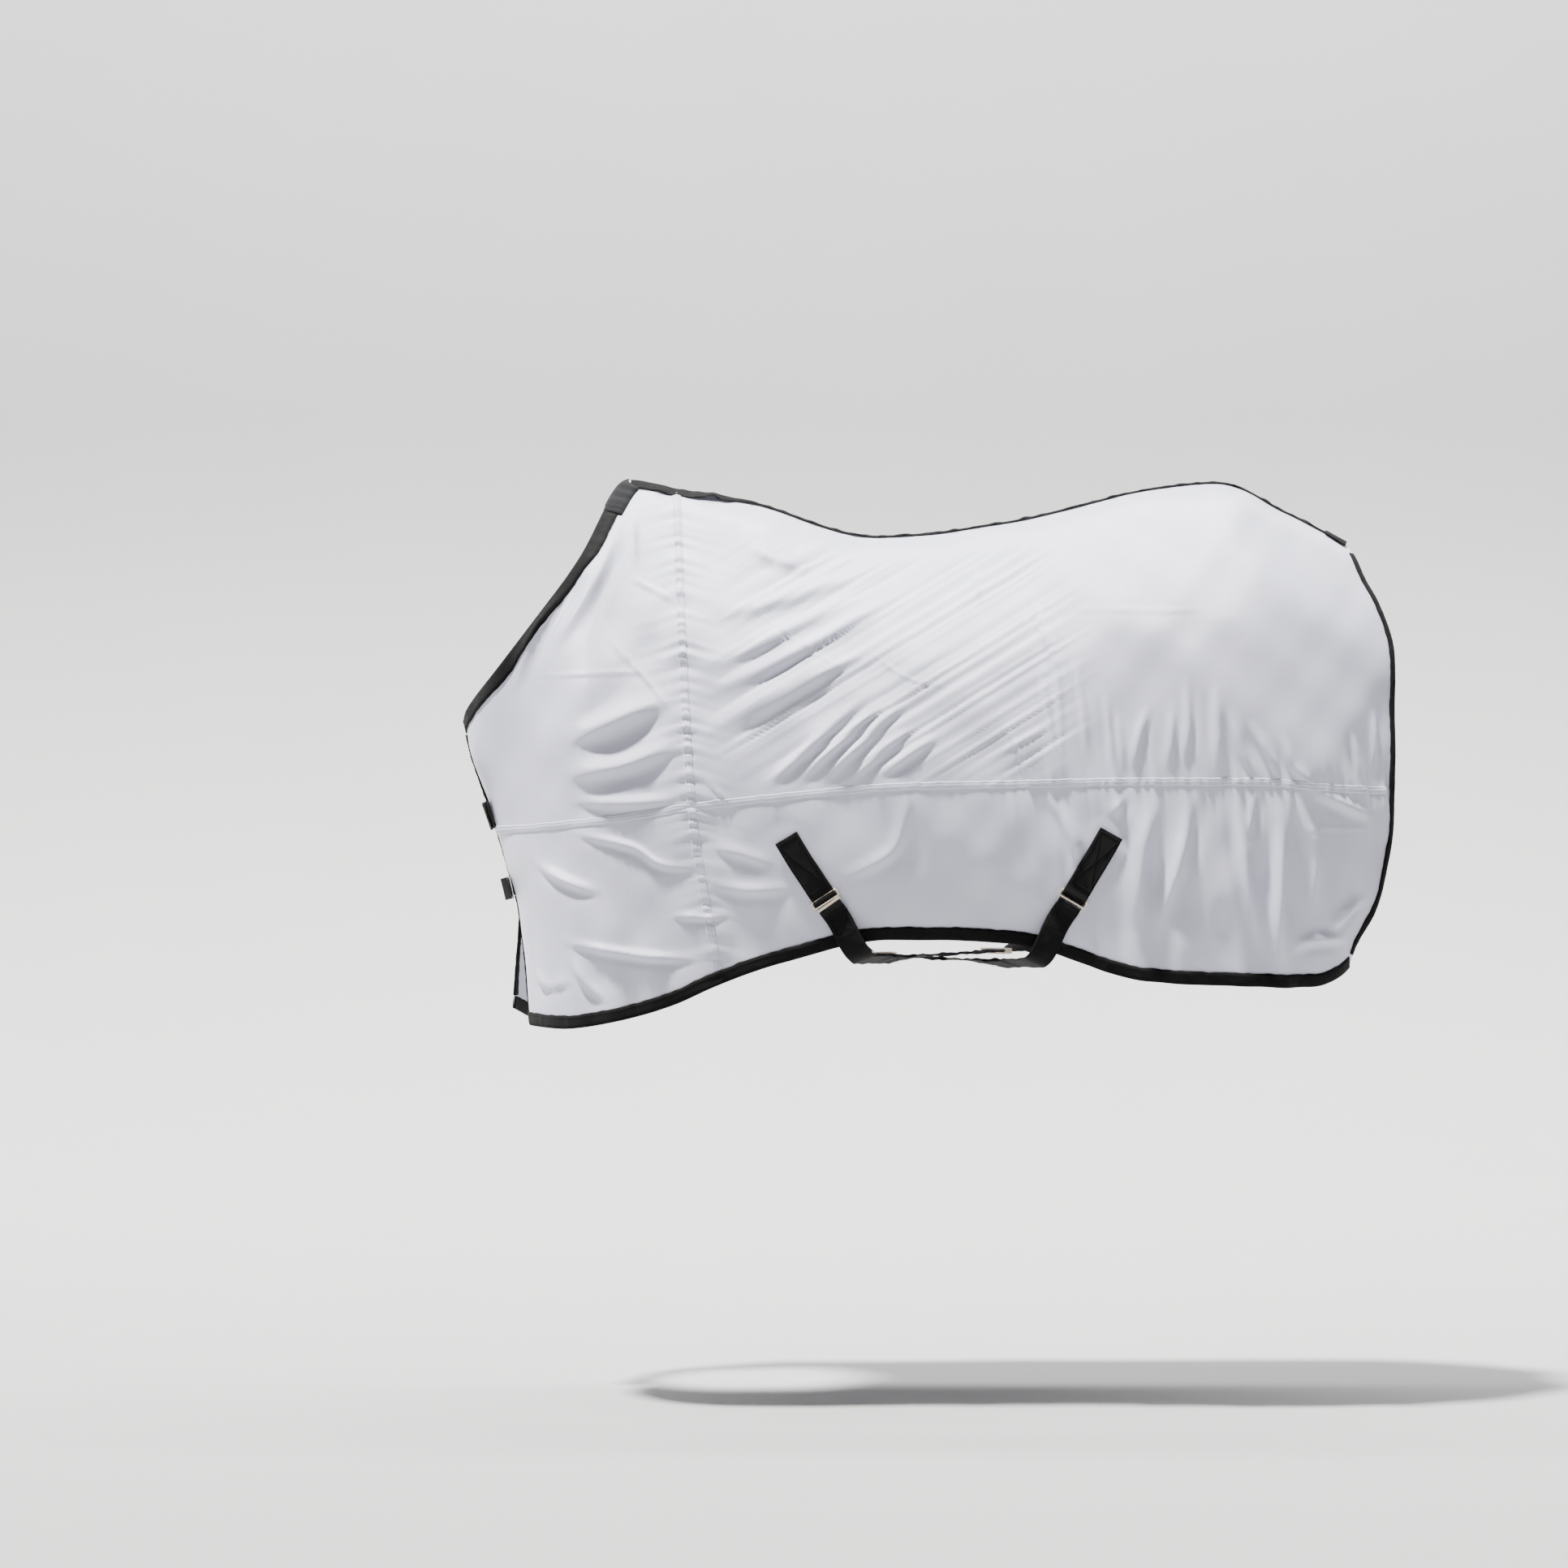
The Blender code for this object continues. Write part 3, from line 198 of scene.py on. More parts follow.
def normals(side, u, v):
    du, dv = directions(side, u, v)
    found = unit(np.cross(dv, du))
    return found if side == "near" else -found


# ---------------------------------------------------------------- folds
# Each fold of the near side, in millimetres: half-width, height and the line that it follows, as (x, z).
FOLDS_MM = (
    (13, 4.5, ((104, -235), (203, -218), (310, -186), (432, -141))),
    (12, 5, ((104, -321), (203, -284), (325, -224), (421, -170))),
    (12, 5.5, ((104, -366), (203, -325), (346, -252), (481, -174))),
    (15, 6.5, ((112, -432), (203, -383), (325, -317), (427, -272))),
    (7.5, 5, ((215, -514), (310, -428), (391, -359))),
    (7, 5.5, ((264, -508), (342, -436), (421, -359))),
    (7, 5, ((305, -504), (376, -436), (449, -366))),
    (7, 4.5, ((359, -497), (408, -449), (469, -404))),
    (7, 4, ((400, -490), (449, -456), (501, -420))),
    (5, 3, ((633, -153), (666, -252), (687, -334), (694, -494))),
    (5, 2.5, ((653, -284), (670, -375), (690, -490))),
    (3.5, 2.2, ((600, -396), (625, -449), (653, -531))),
    (6, 2, ((559, -141), (572, -215))),
    (10, 4, ((198, -100), (224, -132), (310, -157))),
    (9, 3.5, ((342, -653), (428, -604), (449, -531), (462, -510))),
    (8, 3, ((129, -594), (183, -609), (244, -629))),
    (8, 3, ((129, -656), (208, -668), (279, -663))),
    (11, 5, ((-72, -152), (-146, -261), (-193, -375))),
    (11, 4.5, ((-15, -77), (-49, -175), (-118, -289))),
    (7, 3, ((3, -60), (14, -157))),
    (3.5, 2, ((-4, -161), (89, -212))),
    (2.8, 1.3, ((-49, -243), (31, -329), (89, -398))),
    (2.8, 1, ((-153, -326), (-38, -324), (82, -317))),
    (15, 8, ((-106, -438), (-9, -398), (89, -359))),
    (12, 7, ((-101, -487), (-9, -473), (54, -450), (100, -427))),
    (8, 4, ((-95, -524), (-9, -531), (100, -522))),
    (5.5, 4, ((-95, -573), (-38, -587), (19, -602), (59, -627), (129, -634))),
    (7, 4.5, ((-158, -611), (-123, -639), (-72, -662), (-27, -674))),
    (4.5, 3, ((71, -708), (134, -711), (170, -706))),
    (6, 5, ((-113, -748), (-38, -762), (48, -774), (129, -776))),
    (7, 3.5, ((-83, -771), (-60, -817), (-20, -851))),
    (7, 3.5, ((-153, -794), (-123, -823), (-78, -811))),
    (5, 2.5, ((710, -269), (726, -375), (734, -482))),
    (5, 3, ((761, -343), (769, -418), (774, -487))),
    (5, 3, ((779, -375), (793, -482))),
    (6, 4, ((833, -370), (816, -429), (806, -487))),
    (6, 4, ((870, -365), (868, -429), (860, -487))),
    (6, 4, ((891, -323), (895, -402), (886, -482))),
    (8, 5, ((935, -333), (940, -429), (945, -485))),
    (6.5, 4, ((960, -375), (982, -455), (1009, -492))),
    (6.5, 4, ((992, -397), (1025, -461), (1046, -499))),
    (6.5, 3.5, ((1046, -418), (1062, -472), (1099, -504))),
    (5, 3, ((1163, -413), (1176, -499))),
    (5, 3, ((1206, -375), (1201, -492))),
    (9, 6, ((662, -506), (699, -557), (721, -631), (712, -709))),
    (13, 8, ((843, -504), (823, -616), (816, -738))),
    (10, 8, ((897, -504), (886, -604), (846, -738))),
    (9, 7, ((969, -504), (982, -616), (1012, -765))),
    (5.5, 4, ((1000, -506), (992, -589))),
    (11, 8.5, ((1025, -504), (1041, -578), (1037, -695), (1046, -802))),
    (9, 6, ((1062, -506), (1099, -631), (1099, -711))),
    (8, 4, ((1084, -504), (1153, -536), (1206, -557))),
    (8, 5, ((1057, -765), (1099, -748), (1158, -745))),
    (7.5, 5, ((1121, -733), (1163, -695), (1190, -680))),
    (7, 3.5, ((796, -509), (764, -578))),
    (2.4, 0.9, ((162, -183), (284, -280), (391, -342))),
    (2.4, 0.9, ((376, -276), (449, -330), (531, -346))),
    (2.4, 0.9, ((527, -486), (626, -433), (723, -391))),
    (2.4, 0.9, ((671, -218), (813, -224), (947, -221))),
    (2.4, 0.9, ((1057, -573), (1134, -571), (1208, -573))),
    (3, 1.5, ((125, -488), (176, -536))),
)
FOLDS = [(width / 1000, height / 1000, [(x / 1000, z / 1000) for x, z in points])
         for width, height, points in FOLDS_MM]


def smooth(t):
    t = np.clip(t, 0, 1)
    return t * t * (3 - 2 * t)


def fine_line(points, steps=6):
    points = np.array(points, dtype=float)
    t = np.linspace(0, len(points) - 1, (len(points) - 1) * steps + 1)
    return curve_at(points, t)


def along_line(flat, line):
    """Signed distance to a line and share of its length, for points in the (x, z) plane."""
    best = np.full(len(flat), 1e9)
    signed, share = np.zeros(len(flat)), np.zeros(len(flat))
    lengths = run_lengths(line)
    for k, (a, b) in enumerate(zip(line, line[1:])):
        run = b - a
        size = np.linalg.norm(run)
        t = np.clip((flat - a) @ run / size**2, 0, 1)
        gap = flat - (a + t[:, None] * run)
        distance = np.linalg.norm(gap, axis=1)
        nearer = distance < best
        side = np.sign(run[0] * gap[:, 1] - run[1] * gap[:, 0])
        best[nearer] = distance[nearer]
        signed[nearer] = (side * distance)[nearer]
        share[nearer] = ((lengths[k] + t * size) / lengths[-1])[nearer]
    return signed, share


def fold_relief(flat, folds):
    """Height of all folds: each is steeper on its lower side, with a shallow trough beyond it."""
    total = np.zeros(len(flat))
    for width, height, points in folds:
        line = fine_line(points)
        reach = 4 * width
        near = np.all((flat > line.min(axis=0) - reach) & (flat < line.max(axis=0) + reach), axis=1)
        if not near.any():
            continue
        signed, share = along_line(flat[near], line)
        if line[-1][0] < line[0][0]:
            signed = -signed
        upper = np.exp(-(signed / (1.35 * width)) ** 2)
        lower = np.exp(-(signed / (0.75 * width)) ** 2)
        ridge = np.where(signed > 0, upper, lower) - 0.28 * np.exp(-((signed + 1.7 * width) / width) ** 2)
        total[near] += FOLD_STRENGTH * height * ridge * smooth(share / 0.42) * smooth((1 - share) / 0.42)
    return total


def waves(t, shortest, longest, seed, count=9):
    """Irregular ripple along t, from -1 to 1 or so."""
    draw = np.random.default_rng(seed)
    total = np.zeros(len(t))
    for wavelength, phase in zip(np.geomspace(shortest, longest, count), draw.uniform(0, 2 * math.pi, count)):
        total += np.sin(2 * math.pi * t / wavelength * draw.uniform(0.9, 1.1) + phase)
    return total / math.sqrt(count) * 0.9


def seam_line(side, fixed_u=None, fixed_v=None, low=0.0, high=1.0, count=60):
    t = np.linspace(low, high, count)
    u = np.full(count, fixed_u) if fixed_u is not None else t
    v = np.full(count, fixed_v) if fixed_v is not None else t
    return base(side, u, v)


def pucker_relief(side, flat):
    """Gathers that run square to each seam and die away from it."""
    seed = 3 if side == "near" else 11
    down = seam_line(side, fixed_u=U_SEAM, low=0, high=V_HEM)[:, [0, 2]]
    signed, _ = along_line(flat, down)
    away = abs(signed)
    slant = flat[:, 1] + 0.30 * away
    strong = smooth((flat[:, 1] + 0.62) / 0.1) * 0.75 + 0.45
    puckers = 0.0019 * strong * waves(slant, 0.014, 0.055, seed) * np.exp(-away / 0.026)
    fine = 0.0007 * waves(slant, 0.006, 0.012, seed + 5, 4) * np.exp(-away / 0.009)
    across = seam_line(side, fixed_v=V_SEAM, low=0, high=U_REAR, count=120)[:, [0, 2]]
    signed, _ = along_line(flat, across)
    away = abs(signed)
    fan = flat[:, 0] + 0.10 * signed
    haunch = 0.25 + smooth((flat[:, 0] - 0.5) / 0.35)
    fade = np.where(signed > 0, np.exp(-away / 0.034), np.exp(-away / 0.050))
    gathers = 0.0017 * haunch * waves(fan, 0.018, 0.075, seed + 2) * fade
    fine_gathers = 0.0006 * haunch * waves(fan, 0.008, 0.016, seed + 7, 4) * np.exp(-away / 0.010)
    return puckers + fine + gathers + fine_gathers


def hang_relief(side, flat, v):
    """Soft vertical waves of the loose cloth towards the hem, deepest on the haunch and the chest."""
    seed = 21 if side == "near" else 31
    loose = smooth((v - 3.3) / 1.6)
    lean = flat[:, 0] + 0.06 * (flat[:, 1] + 0.6)
    haunch = smooth((flat[:, 0] - 0.62) / 0.2)
    shoulder = 1 - smooth((flat[:, 0] - 0.05) / 0.12)
    return loose * (0.0042 * haunch + 0.0022 * shoulder + 0.0008) * waves(lean, 0.055, 0.19, seed, 6)


def body_relief(side, flat):
    """Broad unevenness and faint crossing creases of cloth that was packed folded."""
    seed = 41 if side == "near" else 51
    broad = 0.0016 * waves(flat[:, 0] * 0.6 + flat[:, 1] * 0.8, 0.09, 0.30, seed, 6)
    broad += 0.0010 * waves(flat[:, 0] * 0.8 - flat[:, 1] * 0.6, 0.07, 0.24, seed + 1, 6)
    pull = smooth((flat[:, 0] - 0.12) / 0.1) * (1 - smooth((flat[:, 0] - 0.62) / 0.15))
    pull = pull * smooth((flat[:, 1] + 0.52) / 0.1) * (1 - smooth((flat[:, 1] + 0.16) / 0.08))
    drag = 0.0016 * pull * waves(flat[:, 1] - 0.62 * flat[:, 0], 0.012, 0.045, seed + 2, 7)
    return broad + drag


def off_folds():
    """The far side's folds: the same sort, shifted and softened, so that the two sides differ."""
    draw = np.random.default_rng(5)
    changed = []
    for width, height, points in FOLDS:
        shift = draw.uniform(-0.022, 0.022, 2)
        scale = draw.uniform(0.55, 1.05)
        changed.append((width * 1.1, height * scale, [(x + shift[0], z + shift[1] * 0.6) for x, z in points]))
    return changed


PATCH_LINES = {}


def relief(side, u, v, points):
    flat = points[:, [0, 2]]
    folds = FOLDS if side == "near" else off_folds()
    total = fold_relief(flat, folds) + pucker_relief(side, flat) + hang_relief(side, flat, v)
    total += body_relief(side, flat)
    for line in PATCH_LINES.get(side, ()):
        signed, _ = along_line(flat, line)
        total *= 0.05 + 0.95 * smooth((abs(signed) - 0.020) / 0.024)
    top = smooth(v / 0.22) * 0.85 + 0.15
    front = smooth(u / 0.5) * 0.8 + 0.2
    fold_calm = 1 - 0.6 * np.exp(-((u - U_FOLD) / 0.25) ** 2)
    return total * top * front * fold_calm


def cloth_at(side, u, v):
    """Points on the folded cloth and smooth outward normals."""
    u, v = np.clip(u, 0, U_REAR), np.clip(v, 0, V_HEM)
    points = base(side, u, v)
    out = normals(side, u, v)
    return points + out * relief(side, u, v, points)[:, None], out


def find_uv(side, targets, u, v, rounds=6):
    """Stations and rows nearest to target points, from first guesses."""
    for _ in range(rounds):
        here = base(side, u, v)
        du, dv = directions(side, u, v)
        gap = targets - here
        a, b, c = (du * du).sum(1), (du * dv).sum(1), (dv * dv).sum(1)
        p, q = (du * gap).sum(1), (dv * gap).sum(1)
        spread = np.maximum(a * c - b * b, 1e-12)
        u = np.clip(u + np.clip((c * p - b * q) / spread, -0.4, 0.4), 0, U_REAR)
        v = np.clip(v + np.clip((a * q - b * p) / spread, -0.4, 0.4), 0, V_HEM)
    return u, v


# ---------------------------------------------------------------- meshes
def new_piece(name, points, faces, material, uvs=None, smooth_shade=True):
    mesh = bpy.data.meshes.new(name)
    mesh.from_pydata([tuple(p) for p in np.asarray(points)], [], faces)
    if uvs is not None:
        layer = mesh.uv_layers.new(name="UVMap")
        index = np.empty(len(mesh.loops), dtype=np.int32)
        mesh.loops.foreach_get("vertex_index", index)
        layer.data.foreach_set("uv", np.asarray(uvs)[index].astype(np.float32).ravel())
    mesh.polygons.foreach_set("use_smooth", [smooth_shade] * len(mesh.polygons))
    mesh.materials.append(material)
    mesh.update()
    made = bpy.data.objects.new(name, mesh)
    bpy.context.scene.collection.objects.link(made)
    return made


def grid_faces(rows, columns, wrap=False, flip=False):
    faces = []
    last = columns if wrap else columns - 1
    for i in range(rows - 1):
        for j in range(last):
            k = (j + 1) % columns
            quad = (i * columns + j, (i + 1) * columns + j, (i + 1) * columns + k, i * columns + k)
            faces.append(quad[::-1] if flip else quad)
    return faces


def loft(name, sections, material, uvs=None):
    """Closed solid through equal closed sections (stations, corners, 3), with a fan cap at each end."""
    count, corners = sections.shape[:2]
    points = sections.reshape(-1, 3)
    middle = [sections[0].mean(axis=0), sections[-1].mean(axis=0)]
    points = np.vstack([points, middle])
    faces = grid_faces(count, corners, wrap=True)
    first, last, base_row = count * corners, count * corners + 1, (count - 1) * corners
    for j in range(corners):
        k = (j + 1) % corners
        faces.append((first, j, k))
        faces.append((last, base_row + k, base_row + j))
    if uvs is not None:
        uvs = np.vstack([np.asarray(uvs).reshape(-1, 2), uvs.reshape(-1, 2)[:1], uvs.reshape(-1, 2)[-1:]])
    made = new_piece(name, points, faces, material, uvs)
    outward(made)
    return made


def outward(piece):
    """Turns every face of a closed piece outwards."""
    shape = bmesh.new()
    shape.from_mesh(piece.data)
    bmesh.ops.recalc_face_normals(shape, faces=shape.faces)
    shape.to_mesh(piece.data)
    shape.free()


def stitches(name, places, along, out, material, length=0.0032, width=0.0007, height=0.0005):
    """Rows of small raised stitches: one grain at each place, along the seam."""
    places, along, out = (np.asarray(x, dtype=float) for x in (places, along, out))
    across = unit(np.cross(out, along))
    ring = [(-0.5, 0, 0), (-0.28, 0.5, 0), (-0.28, 0, 1), (-0.28, -0.5, 0), (0.28, 0.5, 0), (0.28, 0, 1),
            (0.28, -0.5, 0), (0.5, 0, 0), (0, 0, -0.5)]
    grain_faces = [(0, 2, 1), (0, 3, 2), (1, 2, 5, 4), (2, 3, 6, 5), (4, 5, 7), (5, 6, 7),
                   (0, 1, 8), (3, 0, 8), (1, 4, 8), (4, 7, 8), (7, 6, 8), (6, 3, 8)]
    points = np.concatenate([places[:, None] + along[:, None] * a * length + across[:, None] * b * width
                             + out[:, None] * c * height for a, b, c in ring], axis=1)
    faces = [tuple(k + 9 * i for k in face) for i in range(len(places)) for face in grain_faces]
    made = new_piece(name, points.reshape(-1, 3), faces, material)
    outward(made)
    return made


# ---------------------------------------------------------------- materials
class Look:
    """A procedural material while it is made: its nodes, its shader and its texture coordinates."""

    def __init__(self, name):
        self.material = bpy.data.materials.new(name)
        self.material.use_nodes = True
        self.tree = self.material.node_tree
        self.shader = self.tree.nodes["Principled BSDF"]
        self.place = self.tree.nodes.new("ShaderNodeTexCoord").outputs

    def set_inputs(self, node, inputs):
        """Links an input that is given a socket, and sets one that is given a value."""
        for name, value in inputs.items():
            if isinstance(value, bpy.types.NodeSocket):
                self.tree.links.new(value, node.inputs[name])
            else:
                node.inputs[name].default_value = value

    def add(self, kind, inputs):
        made = self.tree.nodes.new(kind)
        self.set_inputs(made, inputs)
        return made

    def noise(self, scale, detail=4.0):
        made = self.add("ShaderNodeTexNoise",
                        {"Vector": self.place["Object"], "Scale": scale, "Detail": detail})
        return made.outputs["Fac"]

    def wave(self, source, scale, direction, distortion):
        made = self.add("ShaderNodeTexWave", {"Vector": self.place[source], "Scale": scale,
                                              "Distortion": distortion, "Detail": 1.0})
        made.bands_direction = direction
        return made.outputs["Fac"]

    def combine(self, a, b, operation="ADD"):
        made = self.add("ShaderNodeMath", {0: a, 1: b})
        made.operation = operation
        return made.outputs["Value"]

    def surface(self, **values):
        """Sets the shader's inputs, each named with _ for a space."""
        self.set_inputs(self.shader, {name.replace("_", " "): value for name, value in values.items()})

    def colours(self, factor, low, high):
        ramp = self.add("ShaderNodeValToRGB", {"Fac": factor})
        ramp.color_ramp.elements[0].color = (*low, 1)
        ramp.color_ramp.elements[1].color = (*high, 1)
        self.surface(Base_Color=ramp.outputs["Color"])

    def roughness(self, factor, low, high):
        made = self.add("ShaderNodeMapRange", {"Value": factor, "To Min": low, "To Max": high})
        self.surface(Roughness=made.outputs["Result"])

    def bump(self, height, distance, strength):
        made = self.add("ShaderNodeBump", {"Height": height, "Distance": distance, "Strength": strength})
        self.surface(Normal=made.outputs["Normal"])


def cloth_material():
    look = Look("satin_cloth")
    look.colours(look.noise(5.0), (0.52, 0.53, 0.66), (0.65, 0.655, 0.76))
    look.roughness(look.noise(28.0), 0.26, 0.38)
    threads = look.combine(look.wave("UV", 700.0, "X", 0.4), look.wave("UV", 700.0, "Y", 0.4))
    crumple = look.combine(look.noise(55.0, 6.0), 6.0, "MULTIPLY")
    look.bump(look.combine(threads, crumple), 0.0001, 0.7)
    look.surface(Sheen_Weight=0.35, Sheen_Roughness=0.35, Sheen_Tint=(0.90, 0.93, 1.0, 1),
                 Specular_IOR_Level=0.75)
    return look.material


def thread_material(name, colour):
    look = Look(name)
    tone = look.noise(400.0)
    look.colours(tone, tuple(c * 0.82 for c in colour), colour)
    look.bump(tone, 0.0002, 0.5)
    look.surface(Roughness=0.8, Specular_IOR_Level=0.15, Sheen_Weight=0.02)
    return look.material


def webbing_material(name, high, across, along, depth):
    """Ribbed woven webbing: ribs across the strap, threads along it, and a painted sheen that makes the colour
    paler on its high threads.
    """
    look = Look(name)
    weave = look.combine(look.wave("UV", along, "X", 0.25), look.wave("UV", across, "Y", 0.25), "MULTIPLY")
    # painted sheen: the colour is paler on the high threads of the weave, where light would catch them, in
    # random patches
    painted_thread_sheen = look.combine(weave, look.noise(22.0), "MULTIPLY")
    look.colours(painted_thread_sheen, (0.0010, 0.0009, 0.0010), high)
    look.roughness(look.noise(90.0), 0.62, 0.85)
    look.bump(look.combine(weave, look.noise(700.0)), depth, 0.8)
    look.surface(Sheen_Weight=0.02, Sheen_Roughness=0.5, Specular_IOR_Level=0.12)
    return look.material


def fleece_material():
    look = Look("pad_fleece")
    pile, tuft = look.noise(900.0, 8.0), look.noise(140.0, 5.0)
    look.colours(look.combine(pile, tuft, "MULTIPLY"), (0.0020, 0.0020, 0.0028), (0.0130, 0.0140, 0.0175))
    look.bump(look.combine(pile, tuft), 0.0009, 0.9)
    look.surface(Roughness=0.95, Specular_IOR_Level=0.15, Sheen_Weight=0.06, Sheen_Roughness=0.6)
    return look.material


def metal_material():
    look = Look("pale_plated_metal")
    look.colours(look.noise(160.0, 6.0), (0.62, 0.50, 0.34), (0.86, 0.76, 0.60))
    look.roughness(look.noise(420.0), 0.18, 0.38)
    look.bump(look.noise(900.0), 0.0001, 0.4)
    look.surface(Metallic=1.0)
    return look.material


def plastic_material():
    look = Look("moulded_plastic")
    grain = look.noise(1400.0)
    look.colours(look.noise(60.0), (0.006, 0.006, 0.006), (0.022, 0.021, 0.021))
    look.roughness(grain, 0.30, 0.46)
    look.bump(grain, 0.0001, 0.35)
    return look.material


CLOTH_LOOK = cloth_material()
SEAM_THREAD = thread_material("white_thread", (0.70, 0.70, 0.78))
DARK_THREAD = thread_material("black_thread", (0.005, 0.0045, 0.005))
BINDING_LOOK = webbing_material("binding_tape", (0.0065, 0.0058, 0.0065), 900.0, 700.0, 0.0002)
WEBBING_LOOK = webbing_material("ribbed_webbing", (0.0070, 0.0060, 0.0065), 520.0, 260.0, 0.0004)
PAD_LOOK = fleece_material()
METAL_LOOK = metal_material()
PLASTIC_LOOK = plastic_material()


# ---------------------------------------------------------------- the same lattice as the CAD, for the straps
def knots(cells):
    values = []
    for i, count in enumerate(cells):
        values += [i + k / count for k in range(count)]
    return np.array(values + [len(cells)])


U_KNOTS, V_KNOTS = knots(CELLS_U), knots(CELLS_V)


def build_lattice(side):
    u, v = (x.ravel() for x in np.meshgrid(U_KNOTS, V_KNOTS, indexing="ij"))
    shape = (len(U_KNOTS), len(V_KNOTS), 3)
    return base(side, u, v).reshape(shape), normals(side, u, v).reshape(shape)


LATTICE = {side: build_lattice(side) for side in SIDES}


def lattice_frame(side, u, v):
    """Point and normal on the CAD's facets."""
    i = int(np.clip(np.searchsorted(U_KNOTS, u, side="right") - 1, 0, len(U_KNOTS) - 2))
    j = int(np.clip(np.searchsorted(V_KNOTS, v, side="right") - 1, 0, len(V_KNOTS) - 2))
    f = (u - U_KNOTS[i]) / (U_KNOTS[i + 1] - U_KNOTS[i])
    g = (v - V_KNOTS[j]) / (V_KNOTS[j + 1] - V_KNOTS[j])
    found = []
    for grid in LATTICE[side]:
        left = grid[i, j] * (1 - g) + grid[i, j + 1] * g
        right = grid[i + 1, j] * (1 - g) + grid[i + 1, j + 1] * g
        found.append(left * (1 - f) + right * f)
    return found[0], unit(found[1])


def cut_path(path, start, end, shortest=0.002):
    path = np.asarray(path)
    length = run_lengths(path[:, 0])
    first, last = start, length[-1] - end
    inner = path[(length > first + shortest) & (length < last - shortest)]

    def at(distance):
        i = int(np.clip(np.searchsorted(length, distance) - 1, 0, len(length) - 2))
        share = (distance - length[i]) / (length[i + 1] - length[i])
        return path[i] + (path[i + 1] - path[i]) * share

    return np.concatenate([[at(first)], inner, [at(last)]])


def path_length(path):
    return np.linalg.norm(np.diff(path[:, 0], axis=0), axis=1).sum()


def patch_rows(side, patch):
    """Centre points, width directions and normals of a surcingle patch, from its top to its lower end."""
    (u0, v0), (u1, v1) = patch
    run = np.array([lattice_frame(side, u0 + (u1 - u0) * t, v0 + (v1 - v0) * t)
                    for t in np.linspace(0, 1, 20)])
    run = cut_path(run, 0, path_length(run) - PATCH_LENGTH)
    rows = []
    for i, (point, normal) in enumerate(run):
        ahead = run[min(i + 1, len(run) - 1), 0] - run[max(i - 1, 0), 0]
        normal = unit(normal)
        rows.append((point, unit(np.cross(normal, ahead)), normal))
    return np.array(rows)


PATCHES = {(side, label): patch_rows(side, patch) for side in ("near", "off")
           for label, patch in (("front", FRONT_PATCH), ("rear", REAR_PATCH))}
for (side, label), rows in PATCHES.items():
    PATCH_LINES.setdefault(side, []).append(rows[:, 0][:, [0, 2]])


def ring_bar(rows):
    point, across, normal = rows[-1]
    down = unit(np.cross(across, normal))
    return point + normal * (CLOTH + WEB_CLEARANCE + WEB / 2), down


def side_run(side, patch, start):
    (u0, v0), (u1, v1) = patch
    slope = (u1 - u0) / (v1 - v0)
    above = (v1 + V_HEM) / 2
    high, high_normal = lattice_frame(side, u1 + slope * (above - v1), above)
    low, low_normal = lattice_frame(side, u1 + slope * (V_HEM - v1), V_HEM)
    stand = CLOTH + BINDING_CLEARANCE + TAPE + WEB_CLEARANCE + WEB / 2
    return [start, high + high_normal * stand, low + low_normal * HEM_STAND_OFF - np.array([0, 0, HEM_DROP])]


def belly_path(first, second, centre_drop, steps=24):
    """Surcingle from one side to the other, as rows of point, width direction and normal."""
    flat = []
    for share, fall in zip(BELLY_SHARES + BELLY_SHARES[1::-1], BELLY_FALL):
        weight = share if len(flat) < 3 else 1 - share
        point = first[-1] * (1 - weight) + second[-1] * weight
        flat.append(np.array([point[0], point[1], BELLY_LEVEL - centre_drop * fall]))
    points = np.array(first + flat + second[::-1])
    tilt = np.radians(np.array(BELLY_TILT, dtype=float))
    near_tilt = np.radians(np.array(NEAR_TILT, dtype=float))
    side = -np.sign(first[0][1])
    angles = np.concatenate([near_tilt, math.pi - tilt[:-1][::-1]]).reshape(-1, 1)
    last = len(points) - 1
    t = np.linspace(0, last, steps * last + 1)
    centre = curve_at(points, t)
    ahead = unit(curve_at(points, np.minimum(t + 0.02, last)) - curve_at(points, np.maximum(t - 0.02, 0)))
    angle = curve_at(angles, t)[:, 0]
    normal = np.stack([np.zeros(len(t)), -side * np.cos(angle), -np.sin(angle)], axis=1)
    normal = unit(normal - ahead * (normal * ahead).sum(axis=1, keepdims=True))
    return np.stack([centre, unit(np.cross(normal, ahead)), normal], axis=1), steps


# ---------------------------------------------------------------- cloth halves
def dense_knots(cells, last):
    """Stations or rows with a given number of even cells in each interval."""
    parts = [np.linspace(k, k + 1, count, endpoint=False) for k, count in enumerate(cells)]
    return np.concatenate(parts + [[last]])


def make_cloth(side):
    columns_u = dense_knots((18, 30, 46, 34, 22, 34, 46, 46, 46, 36, 32, 30), U_REAR)
    rows_v = dense_knots((26, 44, 54, 34, 36), V_HEM)
    u, v = (x.ravel() for x in np.meshgrid(columns_u, rows_v, indexing="ij"))
    points, _ = cloth_at(side, u, v)
    faces = grid_faces(len(columns_u), len(rows_v), flip=side == "off")
    made = new_piece(f"{side}_cloth", points, faces, CLOTH_LOOK, points[:, [0, 2]])
    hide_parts(*[f"{side}_{part}" for part in (
        "body_upper", "body_lower", "shoulder_upper", "shoulder_lower", "chest_upper", "chest_lower")])
    return made


def fold_blend(piece, side):
    """Bakes a piece's transform into its mesh. It works out the straight fold's axis between the sheet and
    that side's chest front, but does not bend the piece across it.
    """
    sign = 1 if side == "near" else MIRROR
    axis = unit((FOLD_TOP - FOLD_FOOT) * sign)
    out = unit(normals(side, np.full(5, float(U_FOLD)), np.linspace(0.5, 4.5, 5)).mean(axis=0))
    forward = unit(np.cross(axis, out))
    if forward[0] > 0:
        forward = -forward
    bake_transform(piece)


